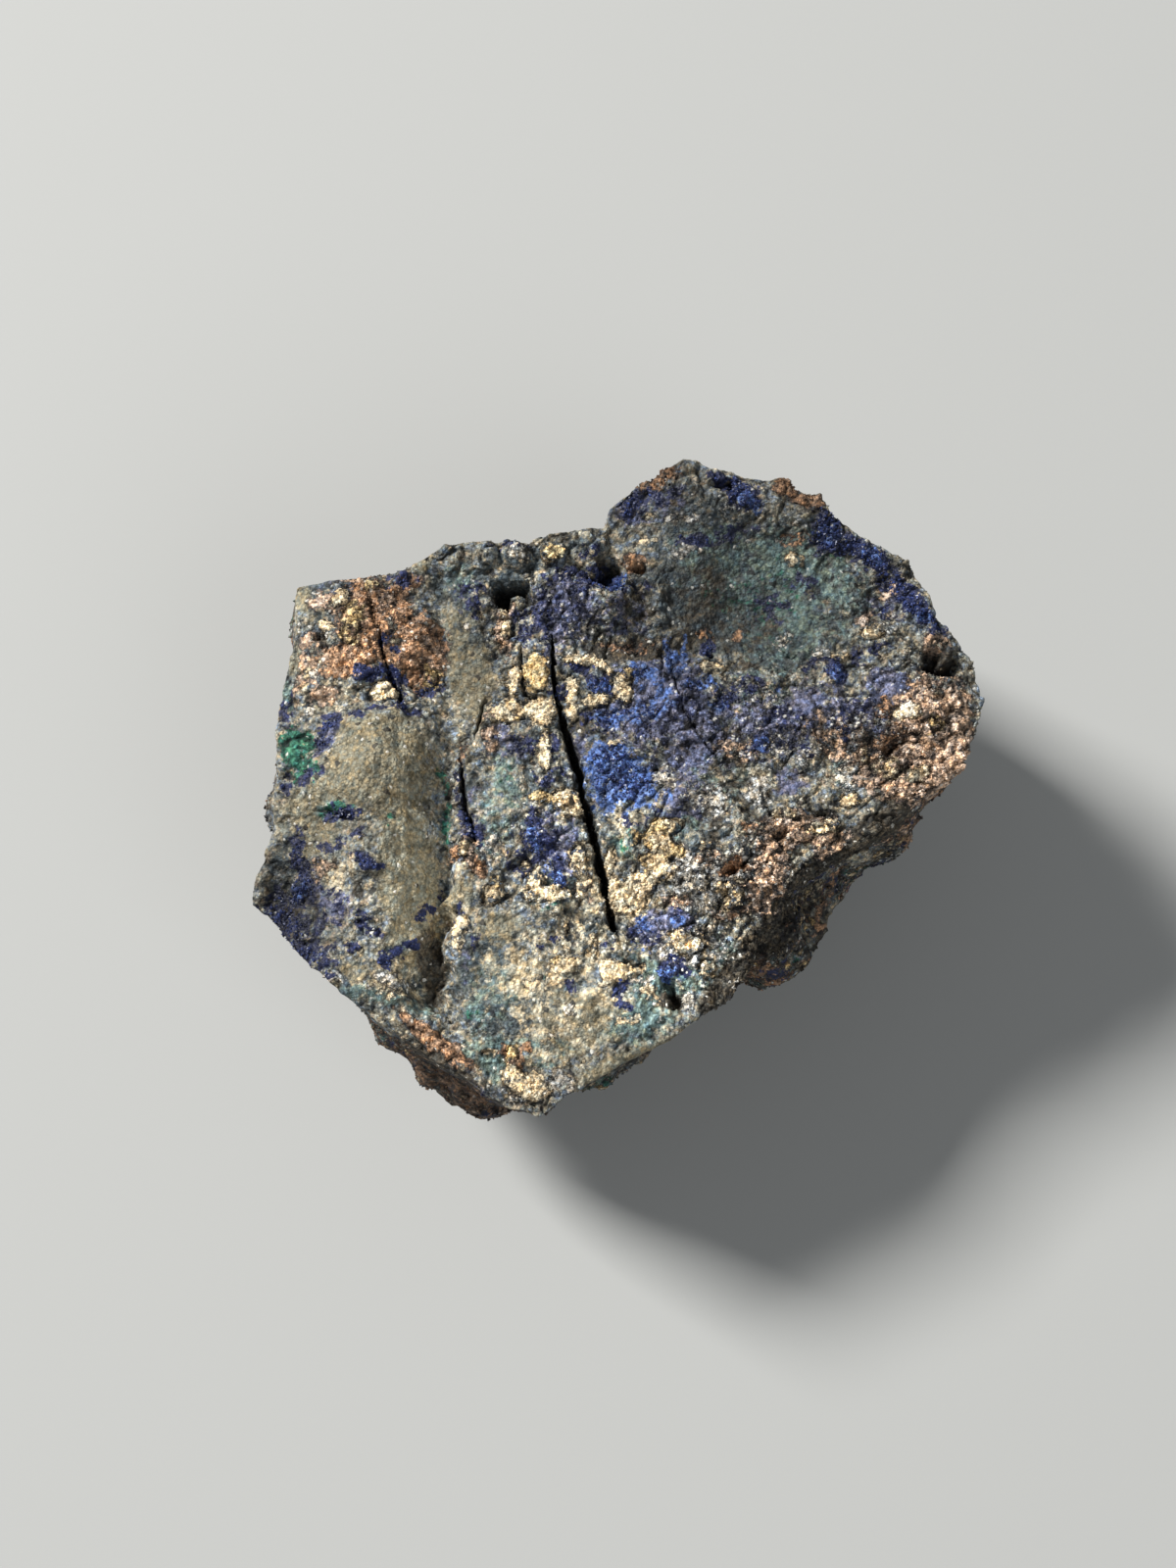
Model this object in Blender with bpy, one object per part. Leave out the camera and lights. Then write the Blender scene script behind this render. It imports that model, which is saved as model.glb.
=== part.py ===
"""Azurite specimen: one broken lump of copper-bearing rock, lying on its flattest break.

The lump is a single piece. Its mineralised face looks up and leans a little towards the front (-Y). The face
has a rounded lobe on the left, a long trough beside it, a banded middle split by a fissure, a broad hollow at
the back right and a shoulder that falls away at the front right. The sides are steep breaks with ledges, and
the underside is one flat break that the lump rests on.

The solid starts as a box. Its top becomes the face, its four walls the broken sides and its bottom the rest.
"""

import itertools
import math

import bmesh
import bpy
import numpy as np

MM = 0.001

# ---- Driving dimensions, in millimetres ----------------------------------------------------------------------

FACE_HEIGHT = 34.0  # from the rest up to the middle of the face
FACE_RISE = 0.14  # rise of the face for each millimetre towards the back
FACE_CELLS = 100  # cells across the face before the mesh is thinned, about 0.8 mm each
WALL_ROWS = 24  # rows of cells from the face's edge down to the rest, before the mesh is thinned
THINNED_SHARE = 0.14  # share of the triangles that stays when the mesh is thinned
WAIST_LEVEL = 0.45  # share of the wall rows that lie above the waist
EDGE_WEAR = 0.4  # how far the worn edge of the face drops
WORN_SHARE = 0.03  # outer share of the face that is worn down
SPARE_DEPTH = 1.0  # rock below the rest, which the flat break takes off

# Edge of the face seen from above, anticlockwise from the right: x, y.
FACE_EDGE = [
    (35.3, 1.5), (36.6, 3.7), (37.6, 6.6), (38.3, 9.4), (37.8, 11.7), (37.3, 14.1), (35.6, 16.5),
    (34.0, 18.6), (32.5, 21.6), (30.7, 24.4), (28.0, 25.9), (25.5, 27.1), (23.6, 28.9), (22.0, 30.1),
    (21.1, 31.7), (18.5, 32.5), (17.9, 33.9), (14.3, 34.1), (10.3, 35.0), (6.4, 36.2), (4.6, 34.6),
    (0.1, 31.8), (-1.9, 30.3), (-2.4, 28.5), (-5.8, 28.0), (-8.4, 27.8), (-10.2, 26.7), (-14.8, 26.6),
    (-19.6, 26.0), (-23.3, 24.0), (-27.5, 22.8), (-31.8, 22.4), (-35.6, 21.7), (-35.8, 17.1), (-35.9, 14.4),
    (-36.8, 11.7), (-37.1, 8.3), (-37.2, 5.1), (-36.7, 1.1), (-36.8, -1.3), (-37.2, -4.4), (-38.2, -7.3),
    (-39.2, -9.6), (-39.6, -12.0), (-36.8, -14.8), (-33.1, -19.2), (-29.7, -22.4), (-26.1, -25.1),
    (-21.4, -27.8), (-17.4, -30.2), (-15.1, -32.0), (-12.3, -33.9), (-9.0, -34.2), (-6.7, -32.5),
    (-3.2, -30.8), (0.9, -28.7), (5.0, -26.5), (7.2, -24.8), (11.1, -22.5), (13.0, -19.2), (13.7, -15.1),
    (16.5, -11.3), (19.8, -9.0), (23.4, -6.9), (27.5, -4.4), (30.2, -1.6),
]  # fmt: skip

# Widest line round the sides, where the upper breaks meet the lower ones: x, y, height.
WAIST = [
    (33.0, 2.6, 22), (35.0, 7.0, 19), (36.6, 12.0, 18), (36.0, 19.0, 21), (32.0, 26.0, 17), (27.0, 30.0, 15),
    (22.5, 34.5, 19), (17.5, 37.5, 22), (10.0, 39.0, 17), (2.0, 37.0, 13), (-5.0, 33.0, 16), (-12.0, 31.5, 21),
    (-21.0, 30.5, 17), (-29.0, 27.5, 14), (-35.5, 24.5, 19), (-38.0, 17.5, 22), (-37.0, 10.0, 17),
    (-38.0, 2.0, 14), (-37.5, -5.5, 19), (-33.5, -12.0, 18), (-29.0, -16.5, 16),
    (-24.5, -24.0, 16), (-23.0, -26.6, 16), (-22.1, -28.8, 16), (-18.1, -30.8, 18), (-14.9, -31.6, 18),
    (-11.0, -30.6, 17), (-6.8, -29.6, 20), (0.0, -28.9, 24), (4.7, -26.0, 24), (10.0, -21.4, 22),
    (13.2, -18.9, 22), (18.5, -16.0, 22), (21.8, -11.0, 22), (25.4, -6.6, 22), (30.3, -3.3, 22),
]  # fmt: skip

# Edge of the flat break underneath: x, y.
REST_EDGE = [
    (27.0, 4.0), (31.5, 11.0), (29.0, 21.0), (22.0, 29.0), (13.0, 31.5), (3.0, 31.0), (-8.0, 27.5),
    (-20.0, 27.0), (-27.0, 23.5), (-33.0, 15.0), (-32.0, 4.0), (-30.0, -5.0), (-26.0, -13.0), (-19.5, -20.0),
    (-11.0, -22.0), (-4.0, -19.0), (4.0, -16.5), (12.0, -9.5), (20.5, -3.5),
]  # fmt: skip

# Broad swells (+) and hollows (-) of the face: middle x, y, reach along, reach across, turn in degrees, height.
SWELLS = {
    "left_lobe": (-27.0, -7.0, 6.5, 15.0, -3, 3.4),
    "olive_dome": (-27.8, 1.5, 6.0, 5.5, 0, 1.8),
    "dome_crease": (-30.0, 8.8, 7.0, 1.3, 6, -1.2),
    "back_left_bench": (-28.5, 15.5, 8.0, 5.0, 0, 1.3),
    "bench_hollow": (-23.5, 12.0, 1.8, 3.0, 20, -0.9),
    "middle_band": (-11.4, -5.0, 5.0, 22.0, -5, 1.2),
    "centre_swell": (6.0, 0.0, 9.0, 10.0, 0, 1.6),
    "back_hollow": (13.5, 19.0, 9.5, 7.0, 10, -3.2),
    "back_ridge": (8.0, 31.5, 14.0, 3.0, -10, 1.5),
    "brown_hollow": (0.5, 16.2, 4.2, 2.0, 0, -1.1),
    "lumpy_shelf": (-5.0, 19.8, 6.0, 2.4, 0, 1.3),
    "right_bank": (31.0, 6.0, 6.0, 6.0, 0, 1.0),
    "front_right_bank": (14.0, -5.5, 7.0, 3.4, 22, 1.3),
    "front_right_fall": (11.0, -18.0, 6.0, 5.0, 0, -1.5),
    "front_left_fall": (-36.0, -13.0, 4.0, 6.0, 30, -2.0),
}

# Round lumps that stand on the face: middle x, y, radius, height.
LUMPS = [
    (-16.2, 25.2, 2.3, 1.3), (-11.8, 24.9, 1.7, 1.6), (-7.9, 25.3, 1.5, 1.2), (-19.6, 25.0, 2.0, 0.9),
    (-3.6, 26.6, 1.7, 0.9), (6.2, -10.5, 1.7, 0.9), (11.8, -11.0, 1.4, 1.0), (8.8, -11.6, 1.4, 0.9),
    (14.9, -10.3, 1.6, 1.1), (9.5, -14.0, 1.5, 0.8), (5.6, -14.6, 1.8, 0.6), (-1.2, 19.9, 2.9, 0.9),
]  # fmt: skip

# Troughs of the face, back to front. Each point: x, y, reach of the left wall, reach of the right wall, depth.
TROUGHS = [
    [  # beside the left lobe: its left wall is long and its right wall is a step
        (-20.4, 21.5, 2.0, 1.6, 0.8), (-19.8, 16.0, 2.2, 1.6, 1.2), (-19.1, 10.6, 2.2, 1.5, 1.4),
        (-18.9, 4.2, 2.3, 1.2, 1.8), (-19.3, -1.1, 2.6, 1.1, 2.2), (-19.1, -6.3, 2.8, 1.1, 2.6),
        (-19.2, -11.5, 3.0, 1.0, 3.2), (-19.9, -16.6, 3.0, 1.0, 4.0), (-20.0, -21.2, 2.6, 1.1, 3.8),
        (-18.9, -24.8, 2.0, 1.2, 2.0), (-17.4, -26.8, 1.4, 1.2, 0.8),
    ],
]  # fmt: skip

# Cracks cut deep into the face, back to front. Each point: x, y, half width. Then the depth.
FISSURES = {
    "main_fissure": (
        [
            (-8.2, 16.0, 0.25), (-7.9, 12.8, 0.45), (-7.7, 10.1, 0.35), (-7.2, 7.6, 0.40), (-6.5, 5.3, 0.75),
            (-5.5, 2.6, 0.85), (-5.1, 0.5, 0.70), (-4.6, -2.1, 0.45), (-3.9, -5.0, 0.60), (-3.1, -7.3, 0.75),
            (-2.5, -9.9, 0.70), (-2.2, -12.0, 0.40), (-1.6, -14.4, 0.60), (-1.1, -16.0, 0.35),
        ],
        4.5,
    ),
    "left_fissure": (
        [
            (-17.7, 3.0, 0.25), (-17.6, 0.5, 0.45), (-17.3, -1.6, 0.35), (-16.8, -3.4, 0.40),
            (-16.3, -5.2, 0.35), (-15.9, -6.5, 0.20),
        ],
        2.5,
    ),
}  # fmt: skip

# Pits: middle x, y, reach across, reach back to front, depth.
PITS = {
    "cavern": (-12.1, 20.4, 2.7, 1.3, 3.8),
    "blue_pit": (-2.5, 23.2, 2.0, 2.2, 3.2),
    "right_edge_pit": (33.4, 13.2, 2.1, 1.7, 3.0),
    "rust_pit": (11.1, -8.8, 1.9, 1.0, 2.2),
    "tan_pit": (16.0, -6.0, 1.2, 1.0, 1.6),
    "front_pit": (4.9, -22.7, 1.6, 1.5, 1.8),
    "back_edge_pit": (10.4, 32.4, 1.8, 1.1, 2.0),
}

# Relief of the broken rock: size, height, noise seed. The walls are rougher than the face.
WALL_RELIEF = [(13.0, 1.2, 11), (5.0, 0.5, 12)]
FACE_RELIEF = [(9.0, 0.5, 21), (3.4, 0.35, 22)]
WALL_CHIPS = [(14.0, 2.2, 14), (6.5, 1.1, 15), (3.0, 0.45, 16)]
FACE_CHIPS = [(7.0, 0.30, 24), (3.0, 0.28, 25)]
EDGE_ROUGHNESS = 0.25  # share of the wall relief that is left at the edge of the face
WALL_COLOUR = (0.10, 0.11, 0.10, 1.0)


# ---- Noise and interpolation ---------------------------------------------------------------------------------


def lattice_random(corners, seed):
    """Three numbers from -1 to 1 for each corner of a whole-number lattice, mixed from its bits and the seed."""
    key = corners @ np.array([73856093, 19349663, 83492791]) + seed * 2654435761
    key = (key ^ (key >> 13)) * 1274126177 & 0xFFFFFFFF
    key = (key ^ (key >> 15)) * 2246822519 & 0xFFFFFFFF
    return np.stack([(key >> shift & 255) / 127.5 - 1 for shift in (0, 8, 16)], axis=1)


def gradient_noise(points, seed):
    """Smooth noise from about -1 to 1: a random slope at each corner of a unit lattice, blended by a quintic."""
    corner = np.floor(points).astype(np.int64)
    part = points - corner
    blend = part**3 * (part * (part * 6 - 15) + 10)
    total = np.zeros(len(points))
    for step in itertools.product((0, 1), repeat=3):
        slope = lattice_random(corner + step, seed)
        weight = np.prod(np.where(step, blend, 1 - blend), axis=1)
        total += weight * np.sum(slope * (part - step), axis=1)
    return total * 1.3


def chip_noise(points, seed):
    """Facets of broken rock: each cell of a jittered lattice has its own flat facet at its own height and tilt.

    Cells meet along narrow blended edges, because a cell's weight falls off steeply with distance.
    """
    corner = np.floor(points).astype(np.int64)
    total = np.zeros(len(points))
    weights = np.zeros(len(points))
    for step in itertools.product((-1, 0, 1), repeat=3):
        place, tilt = lattice_random(corner + step, seed), lattice_random(corner + step, seed + 1)
        away = points - (corner + step + 0.5 + 0.4 * place)
        weight = np.exp(-16 * np.sqrt(np.sum(away**2, axis=1)))
        total += weight * (0.6 * place[:, 0] + 0.9 * np.sum(away * tilt, axis=1))
        weights += weight
    return total / weights


def relief(noise, points, octaves):
    """Sum of one kind of noise over several sizes and heights."""
    return sum(height * noise(points / size, seed) for size, height, seed in octaves)


def outline_reach(outline, angle):
    """Distance from the origin to a closed outline, and its height there, looking out at each angle.

    The outline is straight between its points: the reach is where the ray crosses the edge.
    """
    points = np.array(outline, float)
    bearing = np.arctan2(points[:, 1], points[:, 0])
    points = points[np.argsort(bearing)]
    bearing = np.sort(bearing)
    after = np.searchsorted(bearing, angle) % len(points)
    start, end = points[after - 1], points[after]
    edge = end - start
    ray = np.stack([np.cos(angle), np.sin(angle)], axis=1)
    cross = ray[:, 0] * edge[:, 1] - ray[:, 1] * edge[:, 0]
    reach = (start[:, 0] * edge[:, 1] - start[:, 1] * edge[:, 0]) / cross
    if points.shape[1] == 2:
        return reach, None
    along = np.hypot(*(ray * reach[:, None] - start[:, :2]).T) / np.hypot(edge[:, 0], edge[:, 1])
    return reach, start[:, 2] + along * edge[:, 2]


# ---- The face ------------------------------------------------------------------------------------------------


def swell_height(x, y, swell):
    """A bell over an ellipse that is turned about its middle."""
    middle_x, middle_y, along, across, turn, height = swell
    turn = math.radians(turn)
    right, back = x - middle_x, y - middle_y
    first = (right * math.cos(turn) + back * math.sin(turn)) / along
    second = (back * math.cos(turn) - right * math.sin(turn)) / across
    return height * np.exp(-(first**2) - second**2)


def lump_height(x, y, lump):
    """A low dome: the cap of an ellipsoid, which meets the face in a crease."""
    middle_x, middle_y, radius, height = lump
    return height * np.sqrt(np.clip(1 - ((x - middle_x) ** 2 + (y - middle_y) ** 2) / radius**2, 0, 1))


def trough_depth(x, y, trough):
    """A bell across a path: each side falls off with its own reach, which changes along the path."""
    path = np.array(trough, float)
    nearest = np.full(len(x), np.inf)
    depth = np.zeros(len(x))
    for start, end in zip(path, path[1:]):
        edge = end[:2] - start[:2]
        right, back = x - start[0], y - start[1]
        along = np.clip((right * edge[0] + back * edge[1]) / (edge @ edge), 0, 1)
        here = start + along[:, None] * (end - start)
        away = np.hypot(x - here[:, 0], y - here[:, 1])
        # The path runs towards the front, so a positive cross product is its left side seen from above.
        leftward = edge[1] * right - edge[0] * back > 0
        reach = np.where(leftward, here[:, 2], here[:, 3])
        closer = away < nearest
        nearest = np.where(closer, away, nearest)
        depth = np.where(closer, here[:, 4] * np.exp(-((away / reach) ** 2)), depth)
    return depth


def face_height(x, y):
    """Height of the face: a leaning plane with its swells, lumps, troughs and rough relief."""
    height = FACE_HEIGHT + FACE_RISE * y
    height = height + sum(swell_height(x, y, swell) for swell in SWELLS.values())
    height = height + sum(lump_height(x, y, lump) for lump in LUMPS)
    height = height - sum(trough_depth(x, y, trough) for trough in TROUGHS)
    flat = np.stack([x, y, np.zeros(len(x))], axis=1)
    return height + relief(gradient_noise, flat, FACE_RELIEF) + relief(chip_noise, flat, FACE_CHIPS)


# ---- The lump ------------------------------------------------------------------------------------------------


def shape_lump(box_points):
    """Moves the points of a box from -1 to 1 onto the lump, in millimetres.

    A square layer of the box becomes a disc by the elliptical map, and the disc is stretched to an outline:
    on top to the face's edge, down the walls from the face's edge by way of the waist to the rest's edge.
    """
    across, back, level = box_points.T
    disc_x = across * np.sqrt(1 - back**2 / 2)
    disc_y = back * np.sqrt(1 - across**2 / 2)
    angle = np.arctan2(disc_y, disc_x)
    out = np.hypot(disc_x, disc_y)
    ray = np.stack([np.cos(angle), np.sin(angle)], axis=1)
    face_reach, _ = outline_reach(FACE_EDGE, angle)
    waist_reach, waist_height = outline_reach(WAIST, angle)
    rest_reach, _ = outline_reach(REST_EDGE, angle)

    down = (1 - level) / 2
    upper = np.clip(down / WAIST_LEVEL, 0, 1)
    lower = np.clip((down - WAIST_LEVEL) / (1 - WAIST_LEVEL), 0, 1)
    top = face_height(*(ray * (out * face_reach)[:, None]).T)
    top = top - EDGE_WEAR * np.clip((out - 1 + WORN_SHARE) / WORN_SHARE, 0, 1) ** 2
    reach = face_reach + upper * (waist_reach - face_reach) + lower * (rest_reach - waist_reach)
    height = top + upper * (waist_height - top) - lower * (waist_height + SPARE_DEPTH)
    points = np.column_stack([ray * (out * reach)[:, None], height])

    on_wall = (out > 1 - WORN_SHARE) & (down < 1)
    roughness = np.where(on_wall, np.clip(5 * down, EDGE_ROUGHNESS, 1), 0)
    outward = relief(chip_noise, points, WALL_CHIPS) + relief(gradient_noise, points, WALL_RELIEF)
    downward = relief(chip_noise, points[:, ::-1], WALL_CHIPS)
    points[:, :2] += ray * (outward * roughness)[:, None]
    points[:, 2] += downward * roughness * np.clip(3 * down * (1 - down), 0, 0.5)
    return points


def box_mesh(name):
    """A cube primitive whose edges are divided into the face's cells and the walls' rows."""
    bm = bmesh.new()
    bmesh.ops.create_cube(bm, size=2)
    for axis, cells in enumerate((FACE_CELLS, FACE_CELLS, WALL_ROWS)):
        edges = [e for e in bm.edges if abs(e.verts[0].co[axis] - e.verts[1].co[axis]) > 1]
        bmesh.ops.subdivide_edges(bm, edges=edges, cuts=cells - 1, use_grid_fill=True)
    mesh = bpy.data.meshes.new(name)
    bm.to_mesh(mesh)
    bm.free()
    return mesh


def make_lump(collection, material):
    """The whole lump of rock, as one mesh object."""
    mesh = box_mesh("azurite_specimen")
    points = np.empty(len(mesh.vertices) * 3, np.float32)
    mesh.vertices.foreach_get("co", points)
    points = shape_lump(points.reshape(-1, 3).astype(float)) * MM
    mesh.vertices.foreach_set("co", points.ravel())
    mesh.materials.append(material)
    mesh.update()
    lump = bpy.data.objects.new("azurite_specimen", mesh)
    collection.objects.link(lump)
    thin = lump.modifiers.new("thin", "DECIMATE")
    thin.ratio = THINNED_SHARE
    return lump


# ---- Cracks and pits -----------------------------------------------------------------------------------------


def hide_as_cutter(cutter, collection):
    """Keeps a cutter out of the model."""
    collection.objects.link(cutter)
    cutter.hide_render = True
    cutter.display_type = "WIRE"
    return cutter


def surface_at(points):
    """Height of the face at each of a few places."""
    x, y = np.array(points, float)[:, :2].T
    return face_height(x, y)


def fissure_cutter(name, points, depth, collection):
    """A thin blade: a wedge section swept along the crack, as wide as the crack at each point."""
    stand = 2.0  # how far the blade stands above the face, so that it cuts right through it
    path = np.array(points)
    top = surface_at(points)
    bm = bmesh.new()
    rings = []
    for index, (x, y, half_width) in enumerate(path):
        before, after = path[max(index - 1, 0)], path[min(index + 1, len(path) - 1)]
        ahead = (after - before)[:2] / np.hypot(*(after - before)[:2])
        side = np.array([ahead[1], -ahead[0]])
        flare = half_width * (1 + stand / depth)
        section = [(-flare, top[index] + stand), (flare, top[index] + stand), (0, top[index] - depth)]
        rings.append([bm.verts.new((*(np.array([x, y]) + side * out) * MM, z * MM)) for out, z in section])
    for ring, following in zip(rings, rings[1:]):
        for corner in range(3):
            after = (corner + 1) % 3
            bm.faces.new((ring[corner], ring[after], following[after], following[corner]))
    bm.faces.new(rings[0])
    bm.faces.new(rings[-1])
    bmesh.ops.recalc_face_normals(bm, faces=bm.faces)
    mesh = bpy.data.meshes.new(name)
    bm.to_mesh(mesh)
    bm.free()
    return hide_as_cutter(bpy.data.objects.new(name, mesh), collection)


def pit_cutter(name, pit, collection):
    """A rough ball, sunk in the face to the pit's depth."""
    middle_x, middle_y, across, back, depth = pit
    bm = bmesh.new()
    bmesh.ops.create_icosphere(bm, subdivisions=2, radius=1)
    for vert in bm.verts:
        rough = 1 + 0.4 * gradient_noise(np.array([vert.co]) * 1.9 + [middle_x, middle_y, 0], 41)[0]
        vert.co *= rough
    mesh = bpy.data.meshes.new(name)
    bm.to_mesh(mesh)
    bm.free()
    cutter = bpy.data.objects.new(name, mesh)
    cutter.scale = (across * MM, back * MM, depth * MM)
    cutter.location = (middle_x * MM, middle_y * MM, surface_at([(middle_x, middle_y)])[0] * MM)
    return hide_as_cutter(cutter, collection)


def flat_break_cutter(collection):
    """A slab whose top is the plane that the lump rests on."""
    side, thickness = 120.0, 4.0
    bm = bmesh.new()
    bmesh.ops.create_cube(bm, size=1)
    bmesh.ops.scale(bm, vec=(side * MM, side * MM, thickness * MM), verts=bm.verts)
    bmesh.ops.translate(bm, vec=(0, 0, -thickness / 2 * MM), verts=bm.verts)
    mesh = bpy.data.meshes.new("flat_break")
    bm.to_mesh(mesh)
    bm.free()
    return hide_as_cutter(bpy.data.objects.new("flat_break", mesh), collection)


def cut(lump, cutter):
    """Takes a cutter out of the lump."""
    boolean = lump.modifiers.new(cutter.name, "BOOLEAN")
    boolean.operation = "DIFFERENCE"
    boolean.object = cutter


# ---- Material and assembly -----------------------------------------------------------------------------------


def rock_material():
    """Dull grey-green rock."""
    material = bpy.data.materials.new("copper_rock")
    material.use_nodes = True
    shader = material.node_tree.nodes["Principled BSDF"]
    shader.inputs["Base Color"].default_value = WALL_COLOUR
    shader.inputs["Roughness"].default_value = 0.85
    shader.inputs["Metallic"].default_value = 0.0
    return material


def new_collection(name):
    """A collection in the scene."""
    collection = bpy.data.collections.new(name)
    bpy.context.scene.collection.children.link(collection)
    return collection


def main():
    for old in list(bpy.data.objects):
        bpy.data.objects.remove(old)
    parts = new_collection("azurite_specimen")
    cutters = new_collection("cutters")
    lump = make_lump(parts, rock_material())
    cut(lump, flat_break_cutter(cutters))
    for name, (points, depth) in FISSURES.items():
        cut(lump, fissure_cutter(name, points, depth, cutters))
    for name, pit in PITS.items():
        cut(lump, pit_cutter(name, pit, cutters))


main()
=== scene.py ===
"""Azurite specimen: the look of a broken lump of copper-bearing rock, lying on its flattest break.

The rock and its crusts are dense meshes in place of the plain solid. Lengths are in millimetres, and are
multiplied by MM where a mesh is made.
"""

import itertools
import math

import bpy
import numpy as np
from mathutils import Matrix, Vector


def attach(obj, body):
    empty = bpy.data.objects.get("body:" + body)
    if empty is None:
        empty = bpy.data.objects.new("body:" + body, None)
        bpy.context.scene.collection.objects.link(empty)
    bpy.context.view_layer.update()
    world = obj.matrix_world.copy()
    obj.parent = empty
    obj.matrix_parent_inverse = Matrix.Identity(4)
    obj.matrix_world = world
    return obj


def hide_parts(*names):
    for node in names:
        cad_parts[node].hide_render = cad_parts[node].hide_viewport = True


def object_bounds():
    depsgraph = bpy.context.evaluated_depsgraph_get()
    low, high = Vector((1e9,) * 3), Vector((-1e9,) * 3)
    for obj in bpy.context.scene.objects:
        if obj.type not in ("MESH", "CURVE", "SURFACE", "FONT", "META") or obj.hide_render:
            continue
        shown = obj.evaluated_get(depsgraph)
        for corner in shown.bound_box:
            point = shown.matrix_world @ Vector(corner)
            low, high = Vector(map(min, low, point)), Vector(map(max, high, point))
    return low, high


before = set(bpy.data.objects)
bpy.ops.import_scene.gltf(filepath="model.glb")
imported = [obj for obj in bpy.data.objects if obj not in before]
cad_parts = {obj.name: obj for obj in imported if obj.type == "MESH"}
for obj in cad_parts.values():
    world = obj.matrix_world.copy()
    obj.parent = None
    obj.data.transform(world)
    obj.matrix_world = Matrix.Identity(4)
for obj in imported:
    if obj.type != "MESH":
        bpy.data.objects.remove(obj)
cad_box = [list(corner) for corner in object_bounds()]

# ==== The lump of rock =====================================================================================
# A hand-sized piece of copper-bearing rock, broken off by hammer. Its mineralised face looks up. Its sides
# are rough breaks and its underside a flat one. It is one closed mesh: a grid over the face, then rings of
# cells down the walls and across the underside.

MM = 0.001

FACE_HEIGHT = 34.0  # from the rest up to the middle of the face
FACE_RISE = 0.14  # rise of the face for each millimetre towards the back
LOWEST_FACE = 22.0  # the whole face lies above this height
ROCK_CELLS = 160  # cells across the rock's own face, which is hidden under the crusts
EDGE_ROWS = 10  # rows of fine cells just below the edge of the face
WALL_ROWS = 76  # rows of cells from there down to the rest
EDGE_SHARE = 0.12  # share of the wall that the fine rows cover
REST_RINGS = 10  # rings of cells across the underside
WAIST_LEVEL = 0.45  # share of the wall that lies above the waist
EDGE_WEAR = 0.4  # how far the worn edge of the face drops
WORN_SHARE = 0.03  # outer share of the face that is worn down

# Edge of the face seen from above, anticlockwise from the right: x, y.
FACE_EDGE = [
    (35.3, 1.5), (36.6, 3.7), (37.6, 6.6), (38.3, 9.4), (37.8, 11.7), (37.3, 14.1), (35.6, 16.5),
    (34.0, 18.6), (32.5, 21.6), (30.7, 24.4), (28.0, 25.9), (25.5, 27.1), (23.6, 28.9), (22.0, 30.1),
    (21.1, 31.7), (18.5, 32.5), (17.9, 33.9), (14.3, 34.1), (10.3, 35.0), (6.4, 36.2), (4.6, 34.6),
    (0.1, 31.8), (-1.9, 30.3), (-2.4, 28.5), (-5.8, 28.0), (-8.4, 27.8), (-10.2, 26.7), (-14.8, 26.6),
    (-19.6, 26.0), (-23.3, 24.0), (-27.5, 22.8), (-31.8, 22.4), (-35.6, 21.7), (-35.8, 17.1), (-35.9, 14.4),
    (-36.8, 11.7), (-37.1, 8.3), (-37.2, 5.1), (-36.7, 1.1), (-36.8, -1.3), (-37.2, -4.4), (-38.2, -7.3),
    (-39.2, -9.6), (-39.6, -12.0), (-36.8, -14.8), (-33.1, -19.2), (-29.7, -22.4), (-26.1, -25.1),
    (-21.4, -27.8), (-17.4, -30.2), (-15.1, -32.0), (-12.3, -33.9), (-9.0, -34.2), (-6.7, -32.5),
    (-3.2, -30.8), (0.9, -28.7), (5.0, -26.5), (7.2, -24.8), (11.1, -22.5), (13.0, -19.2), (13.7, -15.1),
    (16.5, -11.3), (19.8, -9.0), (23.4, -6.9), (27.5, -4.4), (30.2, -1.6),
]  # fmt: skip

# Widest line round the sides, where the upper breaks meet the lower ones: x, y, height.
WAIST = [
    (33.0, 2.6, 22), (35.0, 7.0, 19), (36.6, 12.0, 18), (36.0, 19.0, 21), (32.0, 26.0, 17),
    (27.0, 30.0, 15), (22.5, 34.5, 19), (17.5, 37.5, 22), (10.0, 39.0, 17), (2.0, 37.0, 13),
    (-5.0, 33.0, 16), (-12.0, 31.5, 21), (-21.0, 30.5, 17), (-29.0, 27.5, 14), (-35.5, 24.5, 19),
    (-38.0, 17.5, 22), (-37.0, 10.0, 17), (-38.0, 2.0, 14), (-37.5, -5.5, 19), (-33.5, -12.0, 18),
    (-29.0, -16.5, 16), (-24.5, -24.0, 16), (-23.0, -26.6, 16), (-22.1, -28.8, 16), (-18.1, -30.8, 18),
    (-14.9, -31.6, 18), (-11.0, -30.6, 17), (-6.8, -29.6, 20), (0.0, -28.9, 24), (4.7, -26.0, 24),
    (10.0, -21.4, 22), (13.2, -18.9, 22), (18.5, -16.0, 22), (21.8, -11.0, 22), (25.4, -6.6, 22),
    (30.3, -3.3, 22),
]  # fmt: skip

# Edge of the flat break underneath: x, y.
REST_EDGE = [
    (27.0, 4.0), (31.5, 11.0), (29.0, 21.0), (22.0, 29.0), (13.0, 31.5), (3.0, 31.0), (-8.0, 27.5),
    (-20.0, 27.0), (-27.0, 23.5), (-33.0, 15.0), (-32.0, 4.0), (-30.0, -5.0), (-26.0, -13.0),
    (-19.5, -20.0), (-11.0, -22.0), (-4.0, -19.0), (4.0, -16.5), (12.0, -9.5), (20.5, -3.5),
]  # fmt: skip

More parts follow.
